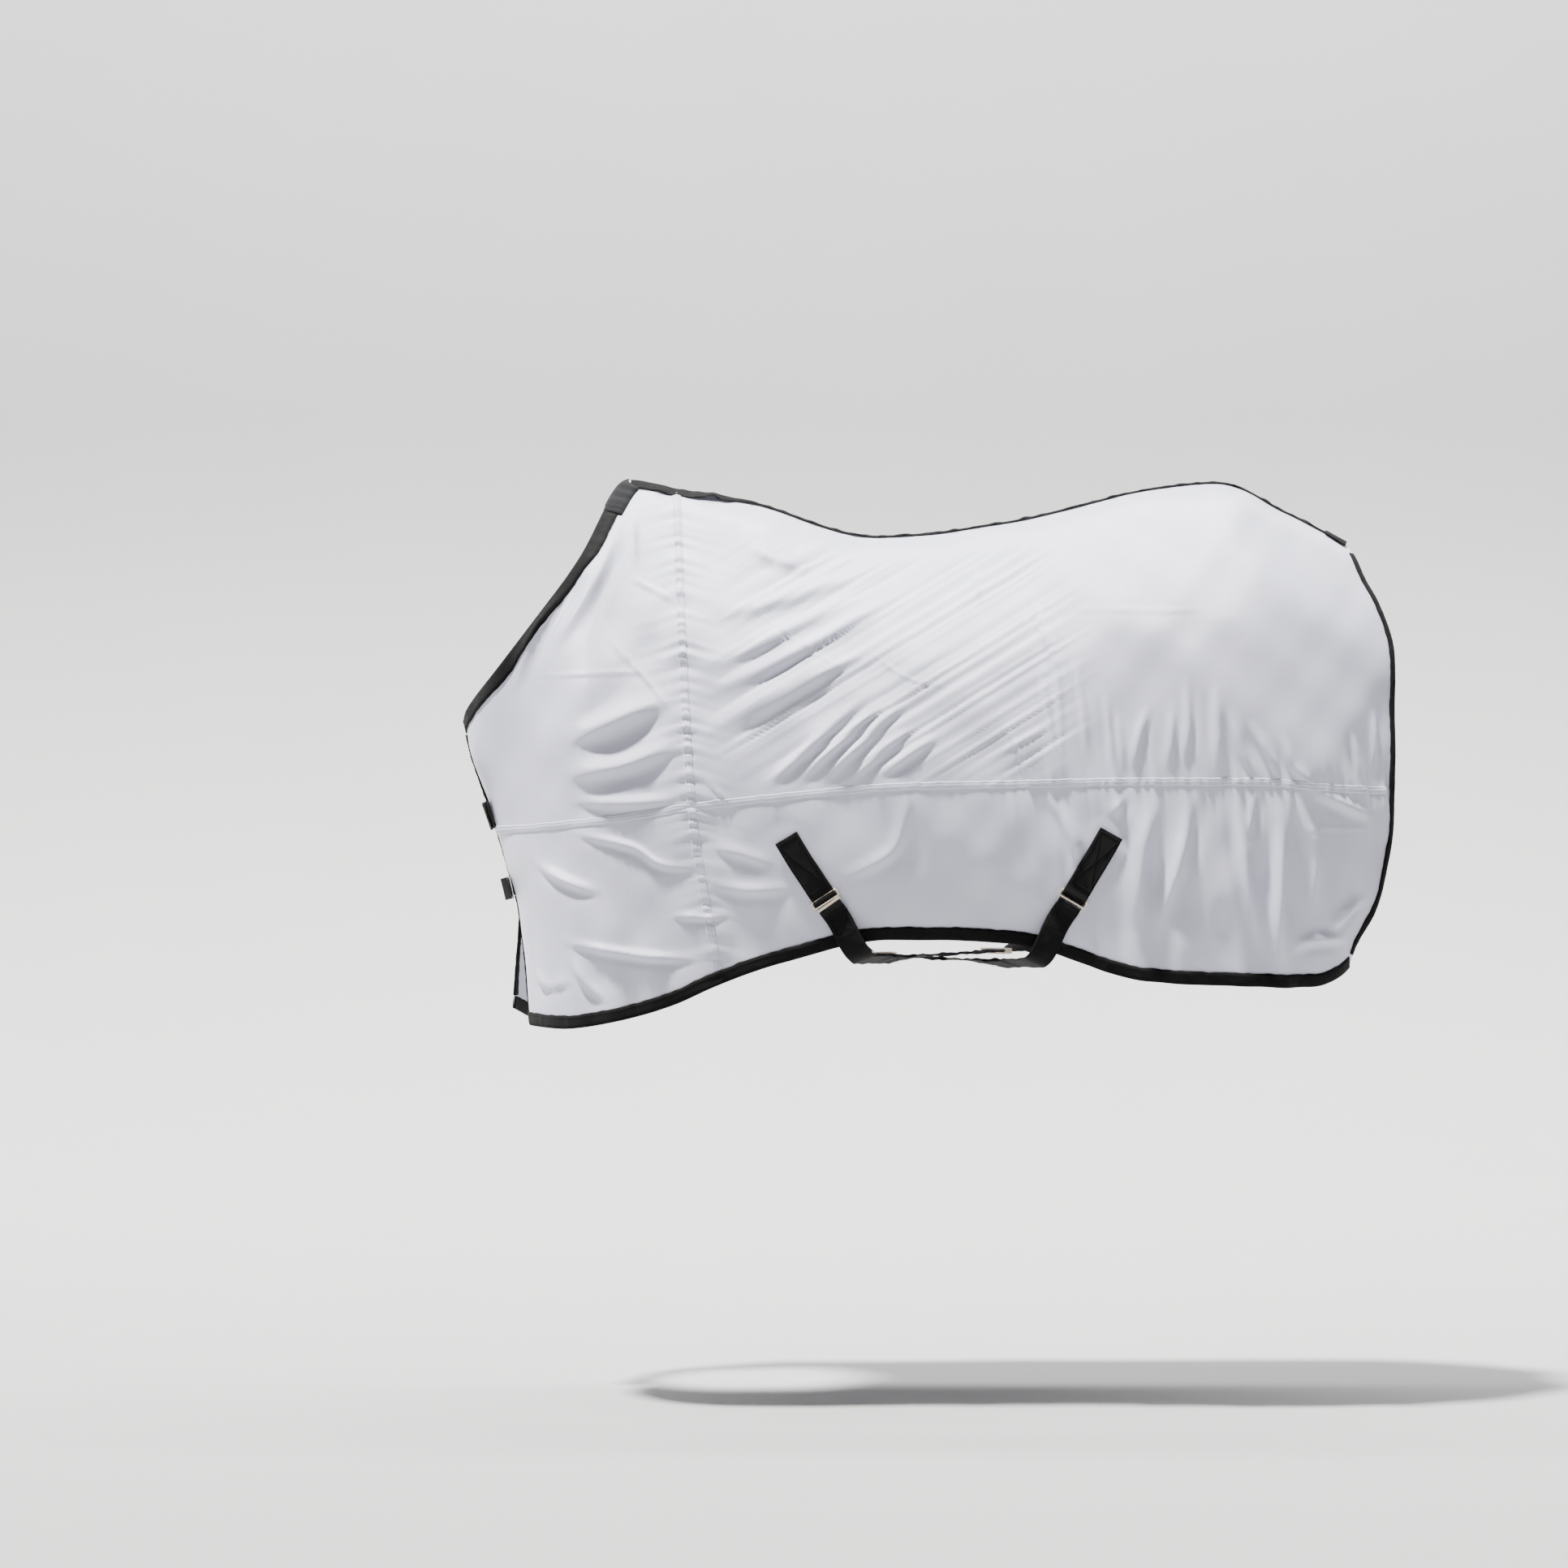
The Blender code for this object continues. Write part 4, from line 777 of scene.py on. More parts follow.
# ---------------------------------------------------------------- bindings
def edge_uv(kind, count):
    """Stations and rows along an edge, and which way is inward."""
    t = np.linspace(0, 1, count)
    if kind == "hem":
        return t * U_REAR, np.full(count, float(V_HEM)), (0.0, -1.0)
    if kind == "neck":
        return t * U_WITHERS, np.zeros(count), (0.0, 1.0)
    if kind == "front":
        return np.zeros(count), t * V_HEM, (1.0, 0.0)
    return np.full(count, float(U_REAR)), t * V_HEM, (-1.0, 0.0)


def even_edge(side, kind, spacing):
    """Evenly spaced places along an edge."""
    u, v, inward = edge_uv(kind, 600)
    points = base(side, u, v)
    length = run_lengths(points)
    wanted = np.linspace(0, length[-1], max(int(length[-1] / spacing), 2) + 1)
    return np.interp(wanted, length, u), np.interp(wanted, length, v), inward, wanted


def edge_strip(side, kind, spacing, offsets):
    """Cloth points and normals along an edge, at distances inward from it: arrays (places, offsets, 3)."""
    u, v, inward, distance = even_edge(side, kind, spacing)
    here, out = base(side, u, v), normals(side, u, v)
    ahead = unit(np.gradient(here, axis=0))
    into = unit(np.cross(out, ahead))
    probe = base(side, u + inward[0] * 0.1, v + inward[1] * 0.1) - here
    into *= np.sign((into * probe).sum(axis=1, keepdims=True))
    rows, norms = [], []
    for offset in offsets:
        guess_u, guess_v = u + inward[0] * 0.15, v + inward[1] * 0.15
        uu, vv = find_uv(side, here + into * offset, guess_u, guess_v)
        point, normal = cloth_at(side, uu, vv)
        rows.append(point)
        norms.append(normal)
    return np.stack(rows, axis=1), np.stack(norms, axis=1), into, ahead, distance


def binding_sections(points, norms, into, distance, width_shares, seed):
    """Closed sections of a folded tape: inner ply, rim, outer ply and its two tucked edges."""
    ripple = 0.00035 * waves(distance, 0.009, 0.05, seed + 60, 6)
    edge_wave = 0.0006 * waves(distance, 0.02, 0.09, seed + 61, 5)
    high = BINDING_PLY * 2
    outer, inner_side = [], []
    for k, share in enumerate(width_shares):
        swell = 1 + 0.25 * math.sin(math.pi * share)
        lift = (high * swell + ripple)[:, None]
        shift = into * (edge_wave * share)[:, None]
        outer.append(points[:, k] + norms[:, k] * lift + shift)
        inner_side.append(points[:, k] - norms[:, k] * lift + shift)
    edge, edge_normal, last, last_normal = points[:, 0], norms[:, 0], points[:, -1], norms[:, -1]
    rim = [edge - into * (BINDING_PLY * 1.1) + edge_normal * high * 0.5, edge - into * (BINDING_PLY * 1.5),
           edge - into * (BINDING_PLY * 1.1) - edge_normal * high * 0.5]
    tuck = [last + last_normal * BINDING_PLY * 0.2 + into * edge_wave[:, None],
            last - last_normal * BINDING_PLY * 0.2 + into * edge_wave[:, None]]
    return np.stack([tuck[1]] + inner_side[::-1] + rim[::-1] + outer + [tuck[0]], axis=1), outer


def make_binding(side, kind, width, replaced, trim=(0.0, 0.0), blend=False, seed=0):
    shares = (0.0, 0.25, 0.5, 0.78, 1.0)
    found = edge_strip(side, kind, 0.004, [width * share for share in shares])
    distance = found[-1]
    keep = (distance >= trim[0]) & (distance <= distance[-1] - trim[1])
    points, norms, into, ahead, distance = (x[keep] for x in found)
    sections, outer = binding_sections(points, norms, into, distance, shares, seed)
    uvs = strip_uvs(distance, run_lengths(sections[0]))
    made = loft(f"{side}_{kind}_tape", sections, BINDING_LOOK, uvs)
    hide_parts(*replaced)
    sewn_line = len(shares) - 2
    normal = norms[:, sewn_line]
    sewn = stitches(f"{side}_{kind}_stitching", outer[sewn_line] + normal * STITCH_LIFT, ahead, normal,
                    DARK_THREAD)
    for piece in (made, sewn):
        if blend:
            fold_blend(piece, side)
        else:
            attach(piece, "sheet" if kind == "rear" else f"{side}_front")
    return [made, sewn]


# ---------------------------------------------------------------- seams
# A felled seam's section, as (share of its width, lift): two raised edges, two stitched grooves and a middle.
SEAM_HALF = [(0.5, 0.0001), (0.46, 0.0011), (0.36, 0.0014), (0.27, 0.0009), (0.16, 0.0015)]
SEAM_PROFILE = [(-share, lift) for share, lift in SEAM_HALF] + [(0, 0.0017)] + SEAM_HALF[::-1]
SEAM_GROOVES = (3, 7)


def seam_places(side, kind, low, high):
    """Evenly spaced stations and rows along a seam, and their distance along it."""
    count = 900
    t = np.linspace(low, high, count)
    u, v = (np.full(count, float(U_SEAM)), t) if kind == "down" else (t, np.full(count, float(V_SEAM)))
    length = run_lengths(base(side, u, v))
    wanted = np.linspace(0, length[-1], int(length[-1] / 0.003) + 1)
    return np.interp(wanted, length, u), np.interp(wanted, length, v), wanted


def make_seam(side, name, kind, low, high, width, replaced):
    """Felled seam: a raised strip with two stitched grooves, puckered along both edges."""
    u, v, wanted = seam_places(side, kind, low, high)
    here, out = base(side, u, v), normals(side, u, v)
    ahead = unit(np.gradient(here, axis=0))
    across = unit(np.cross(out, ahead))
    wobble = 0.0005 * waves(wanted, 0.012, 0.06, 71, 6)
    rows = []
    for share, lift in SEAM_PROFILE:
        found_u, found_v = find_uv(side, here + across * (width * share + wobble)[:, None], u, v, 4)
        point, normal = cloth_at(side, found_u, found_v)
        rows.append(point + normal * lift)
    sections = np.stack(rows + [rows[-1] - out * 0.0007, rows[0] - out * 0.0007], axis=1)
    side_way = np.array([share * width for share, _ in SEAM_PROFILE] + [width / 2, -width / 2])
    made = loft(f"{side}_{name}", sections, CLOTH_LOOK, strip_uvs(wanted, side_way))
    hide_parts(*replaced)
    places = np.concatenate([rows[groove] + out * 0.0003 for groove in SEAM_GROOVES])
    sewn = stitches(f"{side}_{name}_stitching", places, np.tile(ahead, (2, 1)), np.tile(out, (2, 1)),
                    SEAM_THREAD, 0.0021)
    for piece in (made, sewn):
        if kind == "down":
            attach(piece, "sheet")
        else:
            fold_blend(piece, side)
    return [made, sewn]


# ---------------------------------------------------------------- spine tape, dock stay and withers pad
def over_spine(u, shares, half_width, row, rounds):
    """For each share of a half-width out from the spine: the share, cloth points and normals."""
    middle = base("near", u, np.zeros(len(u))) * FLAT
    for share in shares:
        side = "near" if share <= 0 else "off"
        reach = abs(share) * half_width + 0.0002
        target = middle + np.array([0, -1 if side == "near" else 1, 0]) * reach[:, None]
        found_u, found_v = find_uv(side, target, u, np.full(len(u), row), rounds)
        yield share, *cloth_at(side, found_u, found_v)


def spine_strip(name, top, low, along, across, look, replaced):
    """Strip laid over the spine, from its upper and lower lines."""
    uvs = strip_uvs(along, np.concatenate([across, across[::-1]]))
    made = loft(name, np.stack(top + low[::-1], axis=1), look, uvs)
    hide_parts(replaced)
    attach(made, "sheet")


def spine_half_width(x, twist):
    """The spine tape is wide over the withers, narrower along the back and wider again at the dock."""
    narrow = 1 - 0.42 * smooth((x - 0.16) / 0.06) * (1 - 0.35 * smooth((x - 1.02) / 0.06))
    front = 1 + 1.0 * (1 - smooth((x - 0.150) / 0.030))
    return 0.0145 * narrow * front * (1 - 0.35 * twist)


def make_spine_tape():
    u = np.linspace(U_WITHERS, U_REAR, 420)
    length = run_lengths(base("near", u, np.zeros(len(u))) * FLAT)
    wanted = np.arange(0.003, length[-1] - 0.012, 0.003)
    u = np.interp(wanted, length, u)
    middle = base("near", u, np.zeros(len(u))) * FLAT
    ahead = unit(np.gradient(middle, axis=0))
    up = unit(np.cross([0, 1, 0], ahead))
    up *= np.sign(up[:, 2:3])
    twist = np.exp(-((middle[:, 0] - 0.140) / 0.022) ** 2)
    lift = 0.0012 * waves(wanted, 0.022, 0.085, 81, 7) + 0.0022 * twist
    shares = np.linspace(-1, 1, 11)
    top, low = [], []
    for share, point, normal in over_spine(u, shares, spine_half_width(middle[:, 0], twist), 0.05, 4):
        tilt = 0.0013 * share * waves(wanted, 0.03, 0.09, 83, 5) - 0.004 * share * twist
        edge = 0.0009 * abs(share) ** 3 * waves(wanted + (0.02 if share <= 0 else 0), 0.016, 0.06, 84, 6)
        height = 0.0016 + lift + tilt + edge
        top.append(point + normal * np.maximum(height, 0.0012)[:, None] + up * 0.0006)
        low.append(point + normal * np.maximum(height - 0.0011, 0.0002)[:, None] + up * 0.0006)
    spine_strip("spine_binding_tape", top, low, wanted, shares * 0.014, BINDING_LOOK, "spine_tape")
    sewn = stitches("spine_tape_stitching", np.concatenate([top[2], top[8]]), np.tile(ahead, (2, 1)),
                    np.tile(up, (2, 1)), DARK_THREAD, 0.0024)
    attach(sewn, "sheet")


def make_dock_stay():
    """Small stay at the dock, folded over the end of the spine and pointing down each side."""
    count = 16
    u = np.linspace(U_REAR - 0.36, U_REAR, count)
    shares = np.linspace(-1, 1, 13)
    top, low = [], []
    for share, point, normal in over_spine(u, shares, np.linspace(0.0165, 0.021, count), 0.06, 5):
        top.append(point + normal * (0.0044 + 0.0006 * (1 - share**2)))
        low.append(point + normal * 0.0024)
    along = np.linspace(0, 0.036, count)
    spine_strip("dock_stay", top, low, along, shares * 0.018, WEBBING_LOOK, "dock_patch")


def pad_section(point, normal, into, from_end):
    """Section of the padded sleeve: both walls bulge, less so towards the stitched end."""
    puff = 0.45 + 0.55 * smooth(from_end / 0.014)
    puff *= 1 - 0.30 * math.exp(-((from_end - 0.010) / 0.0030) ** 2)
    swell = 0.0062 * puff * (1 + 0.10 * math.sin(from_end * 260))
    outer = [point[k] + normal[k] * swell * crown for k, crown in enumerate((0.62, 1.0, 1.08, 1.0, 0.60))]
    inner = [point[k] - normal[k] * swell * crown for k, crown in enumerate((0.62, 1.0, 1.08, 1.0, 0.60))]
    return outer + [point[4] + into * 0.0012] + inner[::-1] + [point[0] - into * (0.0038 * puff)]


def make_withers_pad():
    """Padded sleeve round the neck edge, over the withers, with bulging walls and a flattened stitched end."""
    found = edge_strip("near", "neck", 0.003, (0.0, 0.008, 0.016, 0.024, 0.031))
    keep = found[-1] >= found[-1][-1] - 0.100
    points, norms, into, _, distance = (x[keep] for x in found)
    near = np.array([pad_section(*place) for place in zip(points, norms, into, distance - distance[0])])
    top_row = near[-1] * FLAT
    towards_top = smooth((distance - (distance[-1] - 0.022)) / 0.022)
    for i in range(len(near)):
        near[i, :, 1] = near[i, :, 1] * (1 - towards_top[i] ** 3)
    sections = np.concatenate([near, top_row[None], (near * MIRROR)[::-1]])
    apart = np.linalg.norm(np.diff(sections.mean(axis=1), axis=0), axis=1) > 0.0009
    sections = sections[np.concatenate([[True], apart])]
    made = loft("withers_padding", sections, PAD_LOOK)
    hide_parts("withers_pad")
    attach(made, "sheet")


# ---------------------------------------------------------------- webbing
def web_section(width, thick):
    """Rounded flat section of webbing, as (across, up), with slightly thicker woven edges."""
    half, edge = width / 2, thick / 2
    rim = [(half, 0), (half - 0.0004, edge * 0.9), (half - 0.0022, edge * 1.05),
           (half - 0.0042, edge * 0.86), (half * 0.4, edge * 0.92)]
    top = [(-a, b) for a, b in rim] + [(0, edge * 0.96)] + rim[::-1]
    return top + [(a, -b) for a, b in top[-2:0:-1]]


def fine_path(rows, spacing=0.003):
    """The same path with evenly spaced rows."""
    rows = np.asarray(rows)
    length = run_lengths(rows[:, 0])
    wanted = np.linspace(0, length[-1], max(int(length[-1] / spacing), 2) + 1)
    knots_at = np.interp(wanted, length, np.arange(len(rows)))
    centre = curve_at(rows[:, 0], knots_at)
    across = unit(curve_at(rows[:, 1], knots_at))
    normal = unit(curve_at(rows[:, 2], knots_at))
    return np.stack([centre, across, normal], axis=1), wanted


def webbing(name, rows, width=WEB_WIDTH, thick=WEB, lift=0.0, wavy=0.0, seed=0):
    """Strap along a path, with a lift off it, one for all or one for each row, and wavy edges."""
    rows, distance = fine_path(rows)
    centre, across, normal = rows[:, 0], rows[:, 1], rows[:, 2]
    section = web_section(width, thick)
    edge_left, edge_right = waves(distance, 0.03, 0.12, seed, 5), waves(distance, 0.035, 0.13, seed + 1, 5)
    lifts = lift if np.ndim(lift) else np.full(len(rows), lift)
    sections = []
    for side_way, up_way in section:
        share = side_way / (width / 2)
        wave_here = wavy * share**2 * (edge_left if share < 0 else edge_right) + 0.35 * wavy * edge_left
        height = up_way + lifts + wave_here
        sections.append(centre + across * side_way + normal * height[:, None])
    sections = np.stack(sections, axis=1)
    side_ways = np.array([s[0] for s in section])
    return loft(name, sections, WEBBING_LOOK, strip_uvs(distance, side_ways))


def box_stitch(name, rows, lift, start, end, half_width, cross=True):
    """Box with a cross of stitches through it, on the outer face of a strap between two lengths along it."""
    rows, distance = fine_path(rows, 0.001)

    def at(along, side_way):
        k = np.clip(np.searchsorted(distance, along), 0, len(rows) - 1)
        return rows[k, 0] + rows[k, 1] * side_way[:, None] + rows[k, 2] * lift, rows[k, 2]

    corners = [(start, -half_width), (end, -half_width), (end, half_width), (start, half_width)]
    lines = list(zip(corners, corners[1:] + corners[:1]))
    if cross:
        lines += [(corners[0], corners[2]), (corners[1], corners[3])]
    places, along, out = [], [], []
    for a, b in lines:
        a, b = np.array(a), np.array(b)
        steps = max(int(np.linalg.norm(b - a) / 0.0030), 2)
        t = (np.arange(steps) + 0.5) / steps
        run = a + (b - a) * t[:, None]
        here, normal = at(run[:, 0], run[:, 1])
        ahead = at(run[:, 0] + (b - a)[0] * 0.02, run[:, 1] + (b - a)[1] * 0.02)[0] - here
        places.append(here)
        along.append(unit(ahead + 1e-9))
        out.append(normal)
    places, along, out = (np.concatenate(x) for x in (places, along, out))
    return stitches(name, places, along, out, DARK_THREAD, 0.0026, 0.0008, 0.0006)


def ring_loop(rows):
    """Path rows of the loop that a patch's end makes round the ring's bar."""
    across, normal = rows[-1, 1], rows[-1, 2]
    bar, down = ring_bar(rows)
    bar = bar + down * (RING_WIRE / 2 + GAP)
    radius = RING_WIRE / 2 + WEB / 2 + 0.0003
    angles = np.radians(np.linspace(80, -90, 10))
    ways = [normal * math.sin(angle) + down * math.cos(angle) for angle in angles]
    return np.array([(bar + way * radius, across, way) for way in ways]), down


def make_ring_tab(label, rows, down):
    across, normal = rows[-1, 1], rows[-1, 2]
    start = rows[-2, 0] + normal * TAB_LIFT
    end = rows[-1, 0] + normal * TAB_LIFT + down * (RING_HEIGHT - RING_WIRE)
    tab_rows = [(start + (end - start) * t, across, normal) for t in np.linspace(0, 1, 4)]
    tab = webbing(f"near_{label}_ring_tab", tab_rows, thick=0.0010, seed=93)
    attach(tab, "sheet")


def make_patch(side, label):
    rows = PATCHES[side, label]
    lift = CLOTH + WEB_CLEARANCE + WEB / 2
    sewn_path = np.stack([rows[:, 0] + rows[:, 2] * lift, rows[:, 1], rows[:, 2]], axis=1)
    path = sewn_path
    if side == "near":
        loop, down = ring_loop(rows)
        path = np.concatenate([sewn_path[:-1], loop])
        make_ring_tab(label, rows, down)
    patch = webbing(f"{side}_{label}_patch_webbing", path, wavy=0.0002, seed=91)
    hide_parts(f"{side}_{label}_patch")
    sewn = box_stitch(f"{side}_{label}_patch_stitching", sewn_path, WEB / 2 + STITCH_LIFT,
                      0.005, 0.096, 0.0165)
    for piece in (patch, sewn):
        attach(piece, "sheet")


def strap_bend(piece, path, hinge):
    """Bakes a strap piece's transform into its mesh. It finds the strap's way ahead at the hinge's place,
    between two links of the CAD, but does not bend the piece there.
    """
    k = int(np.argmin(np.linalg.norm(path[:, 0] - hinge, axis=1)))
    ahead = unit(path[k + 2, 0] - path[k - 2, 0])
    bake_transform(piece)


def strap_doubling(name, path):
    """The strap's end folded back under it, with its own box of stitches."""
    doubled = webbing(f"{name}_strap_doubling", path, lift=-(WEB + 0.0004), wavy=0.0006, seed=103)
    sewn = box_stitch(f"{name}_strap_end_stitching", path, WEB / 2 + 0.0002, 0.008, 0.040, 0.0160)
    for piece in (doubled, sewn):
        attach(piece, f"{name}_end")


def make_strap(name, first, second, drop, root_node):
    """Two lapped straps: from the hook to the belly, and from the belly to the far patch."""
    path, steps = belly_path(first, second, drop)
    total = path_length(path)

    def length_to(rows, knot):
        return np.linalg.norm(np.diff(rows[: steps * knot + 1, 0], axis=0), axis=1).sum()

    bend, back_flat = length_to(path, 2), total - length_to(path[::-1], 3)
    middle = (bend + back_flat) / 2 - 0.10
    covered = cut_path(path, 0.0004, total - middle)
    distance = fine_path(covered)[1]
    raised = (WEB + 0.0004) * smooth((distance - (distance[-1] - STRAP_LAP - 0.02)) / 0.018)
    raised = raised + COVER_LIFT * (1 - smooth((distance - HOOK_HEIGHT + 0.002) / 0.012))
    end = webbing(f"{name}_strap_hook_end", covered, lift=raised, wavy=0.0009, seed=95)
    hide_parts(f"{name}_surcingle_end", f"{name}_surcingle_belly")
    strap_bend(end, path, cut_path(path, bend, 0)[0, 0])
    belly = webbing(f"{name}_strap_far_end", cut_path(path, middle - STRAP_LAP, 0.0012), wavy=0.0011, seed=99)
    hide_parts(root_node)
    strap_bend(belly, path, cut_path(path, back_flat, 0)[0, 0])
    from_hook = cut_path(path, HOOK_HEIGHT + 0.0006, total - middle)
    length = fine_path(from_hook)[1][-1]
    sewn = box_stitch(f"{name}_strap_stitching", from_hook, WEB * 1.5 + 0.0008,
                      length - 0.060, length - 0.006, 0.0160)
    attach(sewn, f"{name}_belly")
    strap_doubling(name, fine_path(cut_path(from_hook, 0, length - 0.046))[0])


# ---------------------------------------------------------------- chest webbing
def point_at_reach(side, row, reach):
    walked, last = 0.0, lattice_frame(side, 0, row)
    for u in np.linspace(0, U_FOLD, 121)[1:]:
        here = lattice_frame(side, u, row)
        walked += np.linalg.norm(here[0] - last[0])
        if walked >= reach:
            return here
        last = here
    return last


def chest_up(row):
    normal = lattice_frame("near", 0, row)[1]
    return unit(np.cross([0, 1, 0], unit(normal * FLAT)))


def chest_rows(side, row, reaches, lift):
    up = chest_up(row)
    rows = []
    for reach in reaches:
        point, normal = point_at_reach(side, row, reach)
        rows.append((point + normal * lift, unit(up - normal * up.dot(normal)), normal))
    return rows


def make_chest_web(side, name, row, start, length, lift, width):
    """Webbing sewn to a chest front, with its box of stitches."""
    rows = chest_rows(side, row, np.linspace(start, start + length, 5), lift + WEB / 2)
    web = webbing(f"{side}_{name}_webbing", rows, width=width, wavy=0.0002, seed=111)
    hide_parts(f"{side}_{name}")
    first = TAB_CLEAR if name == "tab_base" else 0.004
    sewn = box_stitch(f"{side}_{name}_stitching", rows, WEB / 2 + STITCH_LIFT, first, length - 0.005,
                      width / 2 - 0.004)
    for piece in (web, sewn):
        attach(piece, f"{side}_front")


def make_chest_tab(lift):
    rows = chest_rows("near", CHEST_TAB_ROW, (0.048, 0.028, 0.014, 0.003), lift)
    off_reaches = (0.003, CHEST_TAB_REACH / 3, CHEST_TAB_REACH * 2 / 3, CHEST_TAB_REACH)
    rows += chest_rows("off", CHEST_TAB_ROW, off_reaches, lift)
    tab = webbing("chest_tab_webbing", rows, width=CHEST_TAB_WIDTH, wavy=0.0004, seed=115)
    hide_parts("chest_tab")
    edge = box_stitch("chest_tab_stitching", rows, WEB / 2 + STITCH_LIFT, 0.004, 0.020, 0.018, cross=False)
    for piece in (tab, edge):
        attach(piece, "chest_tab")


def make_chest_webs():
    tab_lift = CLOTH + 0.0008 + 0.0012 + WEB_CLEARANCE
    clip_lift = CLOTH + BINDING_CLEARANCE + TAPE + WEB_CLEARANCE
    make_chest_web("near", "tab_base", CHEST_TAB_ROW, 0.028, 0.034, tab_lift, CHEST_TAB_WIDTH)
    make_chest_web("off", "tab_landing", CHEST_TAB_ROW, 0.020, 0.044, tab_lift, CHEST_TAB_WIDTH)
    for side in SIDES:
        make_chest_web(side, "clip_strap", CHEST_CLIP_ROW, 0.032, 0.034, clip_lift, CHEST_CLIP_WIDTH)
    make_chest_tab(tab_lift + WEB + WEB_CLEARANCE + WEB / 2)


# ---------------------------------------------------------------- build
def make_trims(side):
    """Bindings and seams of one half of the sheet."""
    made = make_binding(side, "hem", 0.020, [f"{side}_hem_binding", f"{side}_chest_hem_binding"], blend=True)
    made += make_binding(side, "neck", 0.0235, [f"{side}_neck_binding", f"{side}_chest_neck_binding"],
                         trim=(0.0, 0.094), blend=True, seed=5)
    made += make_binding(side, "front", 0.014, [f"{side}_front_binding"], trim=(0.024, 0.020), seed=9)
    made += make_binding(side, "rear", 0.010, [f"{side}_rear_binding"], trim=(0.030, 0.019), seed=13)
    made += make_seam(side, "shoulder_felled_seam", "down", 0.1, V_HEM - 0.16, 0.014,
                      [f"{side}_shoulder_seam"])
    made += make_seam(side, "side_felled_seam", "along", 0.12, U_REAR - 0.14, 0.012,
                      [f"{side}_{part}_side_seam" for part in ("body", "shoulder", "chest")])
    return made


def strap_start(side, label):
    """First points of a surcingle: below its ring on the near side, at its patch on the off side."""
    point, down = ring_bar(PATCHES[side, label])
    if side == "near":
        height = RING_HEIGHT - RING_WIRE
        point = point + down * (RING_WIRE / 2 + GAP) + down * (height + RING_WIRE / 2 + GAP)
    return side_run(side, FRONT_PATCH if label == "front" else REAR_PATCH, point)


cloths = {side: make_cloth(side) for side in SIDES}
trims = {side: make_trims(side) for side in SIDES}
for side in SIDES:
    fold_blend(cloths[side], side)
make_spine_tape()
make_withers_pad()
make_dock_stay()
for side, label in PATCHES:
    make_patch(side, label)
for label, far_label, drop in (("front", "rear", 0.0), ("rear", "front", CROSSING_GAP)):
    make_strap(label, strap_start("near", label), strap_start("off", far_label), drop,
               f"off_{far_label}_surcingle_root")
make_chest_webs()

METAL_NODES = [name for label in ("front", "rear") for name in (
    f"near_{label}_ring", f"{label}_surcingle_hook", f"{label}_surcingle_adjuster")]
for names, look in ((METAL_NODES, METAL_LOOK), (("near_clip_prongs", "off_clip_socket"), PLASTIC_LOOK)):
    for name in names:
        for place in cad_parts[name].material_slots:
            place.material = look

for side in SIDES:
    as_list(trims[side])

# ---------------------------------------------------------------- stage, light and camera
def stage_material():
    look = Look("pale_paper")
    look.colours(look.noise(3.0), (0.31, 0.31, 0.31), (0.325, 0.325, 0.325))
    look.surface(Roughness=0.9)
    return look.material


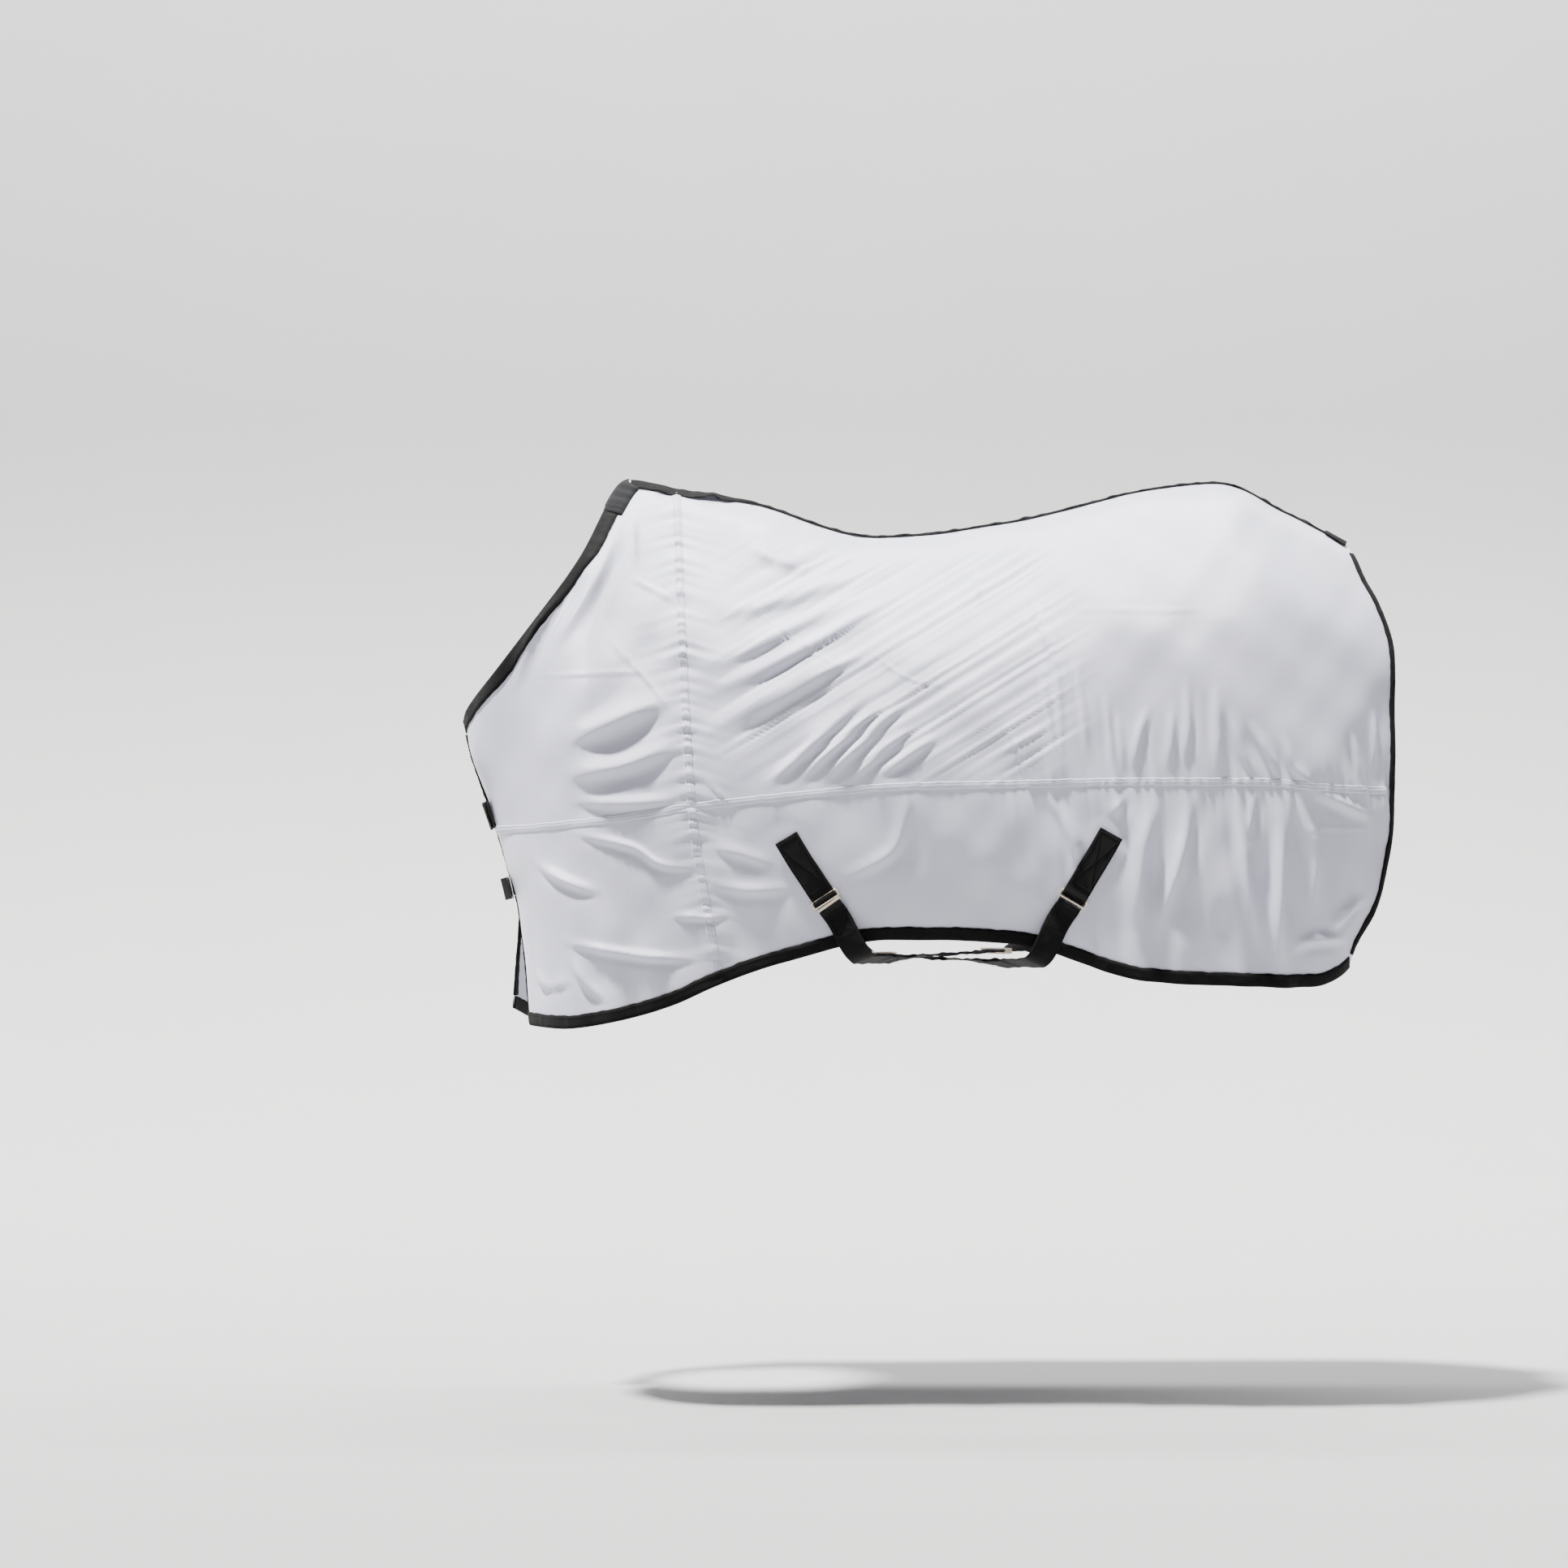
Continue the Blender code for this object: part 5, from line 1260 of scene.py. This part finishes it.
def make_stage():
    """Pale floor that curves up into a plain backdrop."""
    profile = [(-45.0, 0.0), (3.0, 0.0)]
    profile += [(3.0 + 2.0 * math.sin(a), 2.0 - 2.0 * math.cos(a)) for a in np.radians(np.linspace(8, 90, 12))]
    profile += [(5.0, 9.0)]
    points = [(x, y, FLOOR + z) for x in (-45.0, 45.0) for y, z in profile]
    mesh = bpy.data.meshes.new("studio_sweep")
    mesh.from_pydata(points, [], grid_faces(2, len(profile)))
    mesh.polygons.foreach_set("use_smooth", [True] * len(mesh.polygons))
    mesh.materials.append(stage_material())
    made = bpy.data.objects.new("studio_sweep", mesh)
    bpy.context.scene.collection.objects.link(made)
    made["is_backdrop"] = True


def add_to_scene(name, data, place, aim):
    """Links a lamp or camera that looks along aim."""
    made = bpy.data.objects.new(name, data)
    made.location = place
    made.rotation_euler = Vector(aim).to_track_quat("-Z", "Y").to_euler()
    bpy.context.scene.collection.objects.link(made)
    return made


def light(name, place, target, size, power, colour):
    lamp = bpy.data.lights.new(name, "AREA")
    lamp.shape = "RECTANGLE"
    lamp.size, lamp.size_y = size
    lamp.energy = power
    lamp.color = colour
    add_to_scene(name, lamp, place, Vector(target) - Vector(place))


def make_sun():
    sun = bpy.data.lights.new("overhead_key", "SUN")
    sun.energy, sun.angle, sun.color = 17.0, math.radians(5), (1.0, 0.985, 0.96)
    add_to_scene("overhead_key", sun, (0, 0, 0), (0.26, 0.12, -0.95))


def make_world():
    world = bpy.data.worlds.new("studio")
    world.use_nodes = True
    background = world.node_tree.nodes["Background"]
    background.inputs["Color"].default_value = (0.90, 0.93, 1.0, 1)
    background.inputs["Strength"].default_value = 0.10
    bpy.context.scene.world = world


def make_camera():
    camera = bpy.data.cameras.new("photo_camera")
    camera.lens, camera.sensor_width = 104.81, 36.0
    camera.clip_end = 120.0
    viewer = bpy.data.objects.new("photo_camera", camera)
    viewer.location = (0.2547, -7.5, -0.4987)
    viewer.rotation_euler = (math.pi / 2, 0, 0)
    bpy.context.scene.collection.objects.link(viewer)
    bpy.context.scene.camera = viewer


make_stage()
make_sun()
light("backdrop_wash", (0.3, 1.6, 4.2), (0.3, 5.0, 0.4), (9.0, 1.2), 1500.0, (1.0, 1.0, 1.0))
light("front_fill", (-1.0, -5.5, 0.2), (0.45, 0.0, -0.45), (3.5, 3.0), 5.0, (0.66, 0.72, 1.0))
make_world()
make_camera()

visual_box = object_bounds()
boxes = {"cad": CAD_BOX, "visual": visual_box}
{name: [list(map(float, corner)) for corner in box] for name, box in boxes.items()}
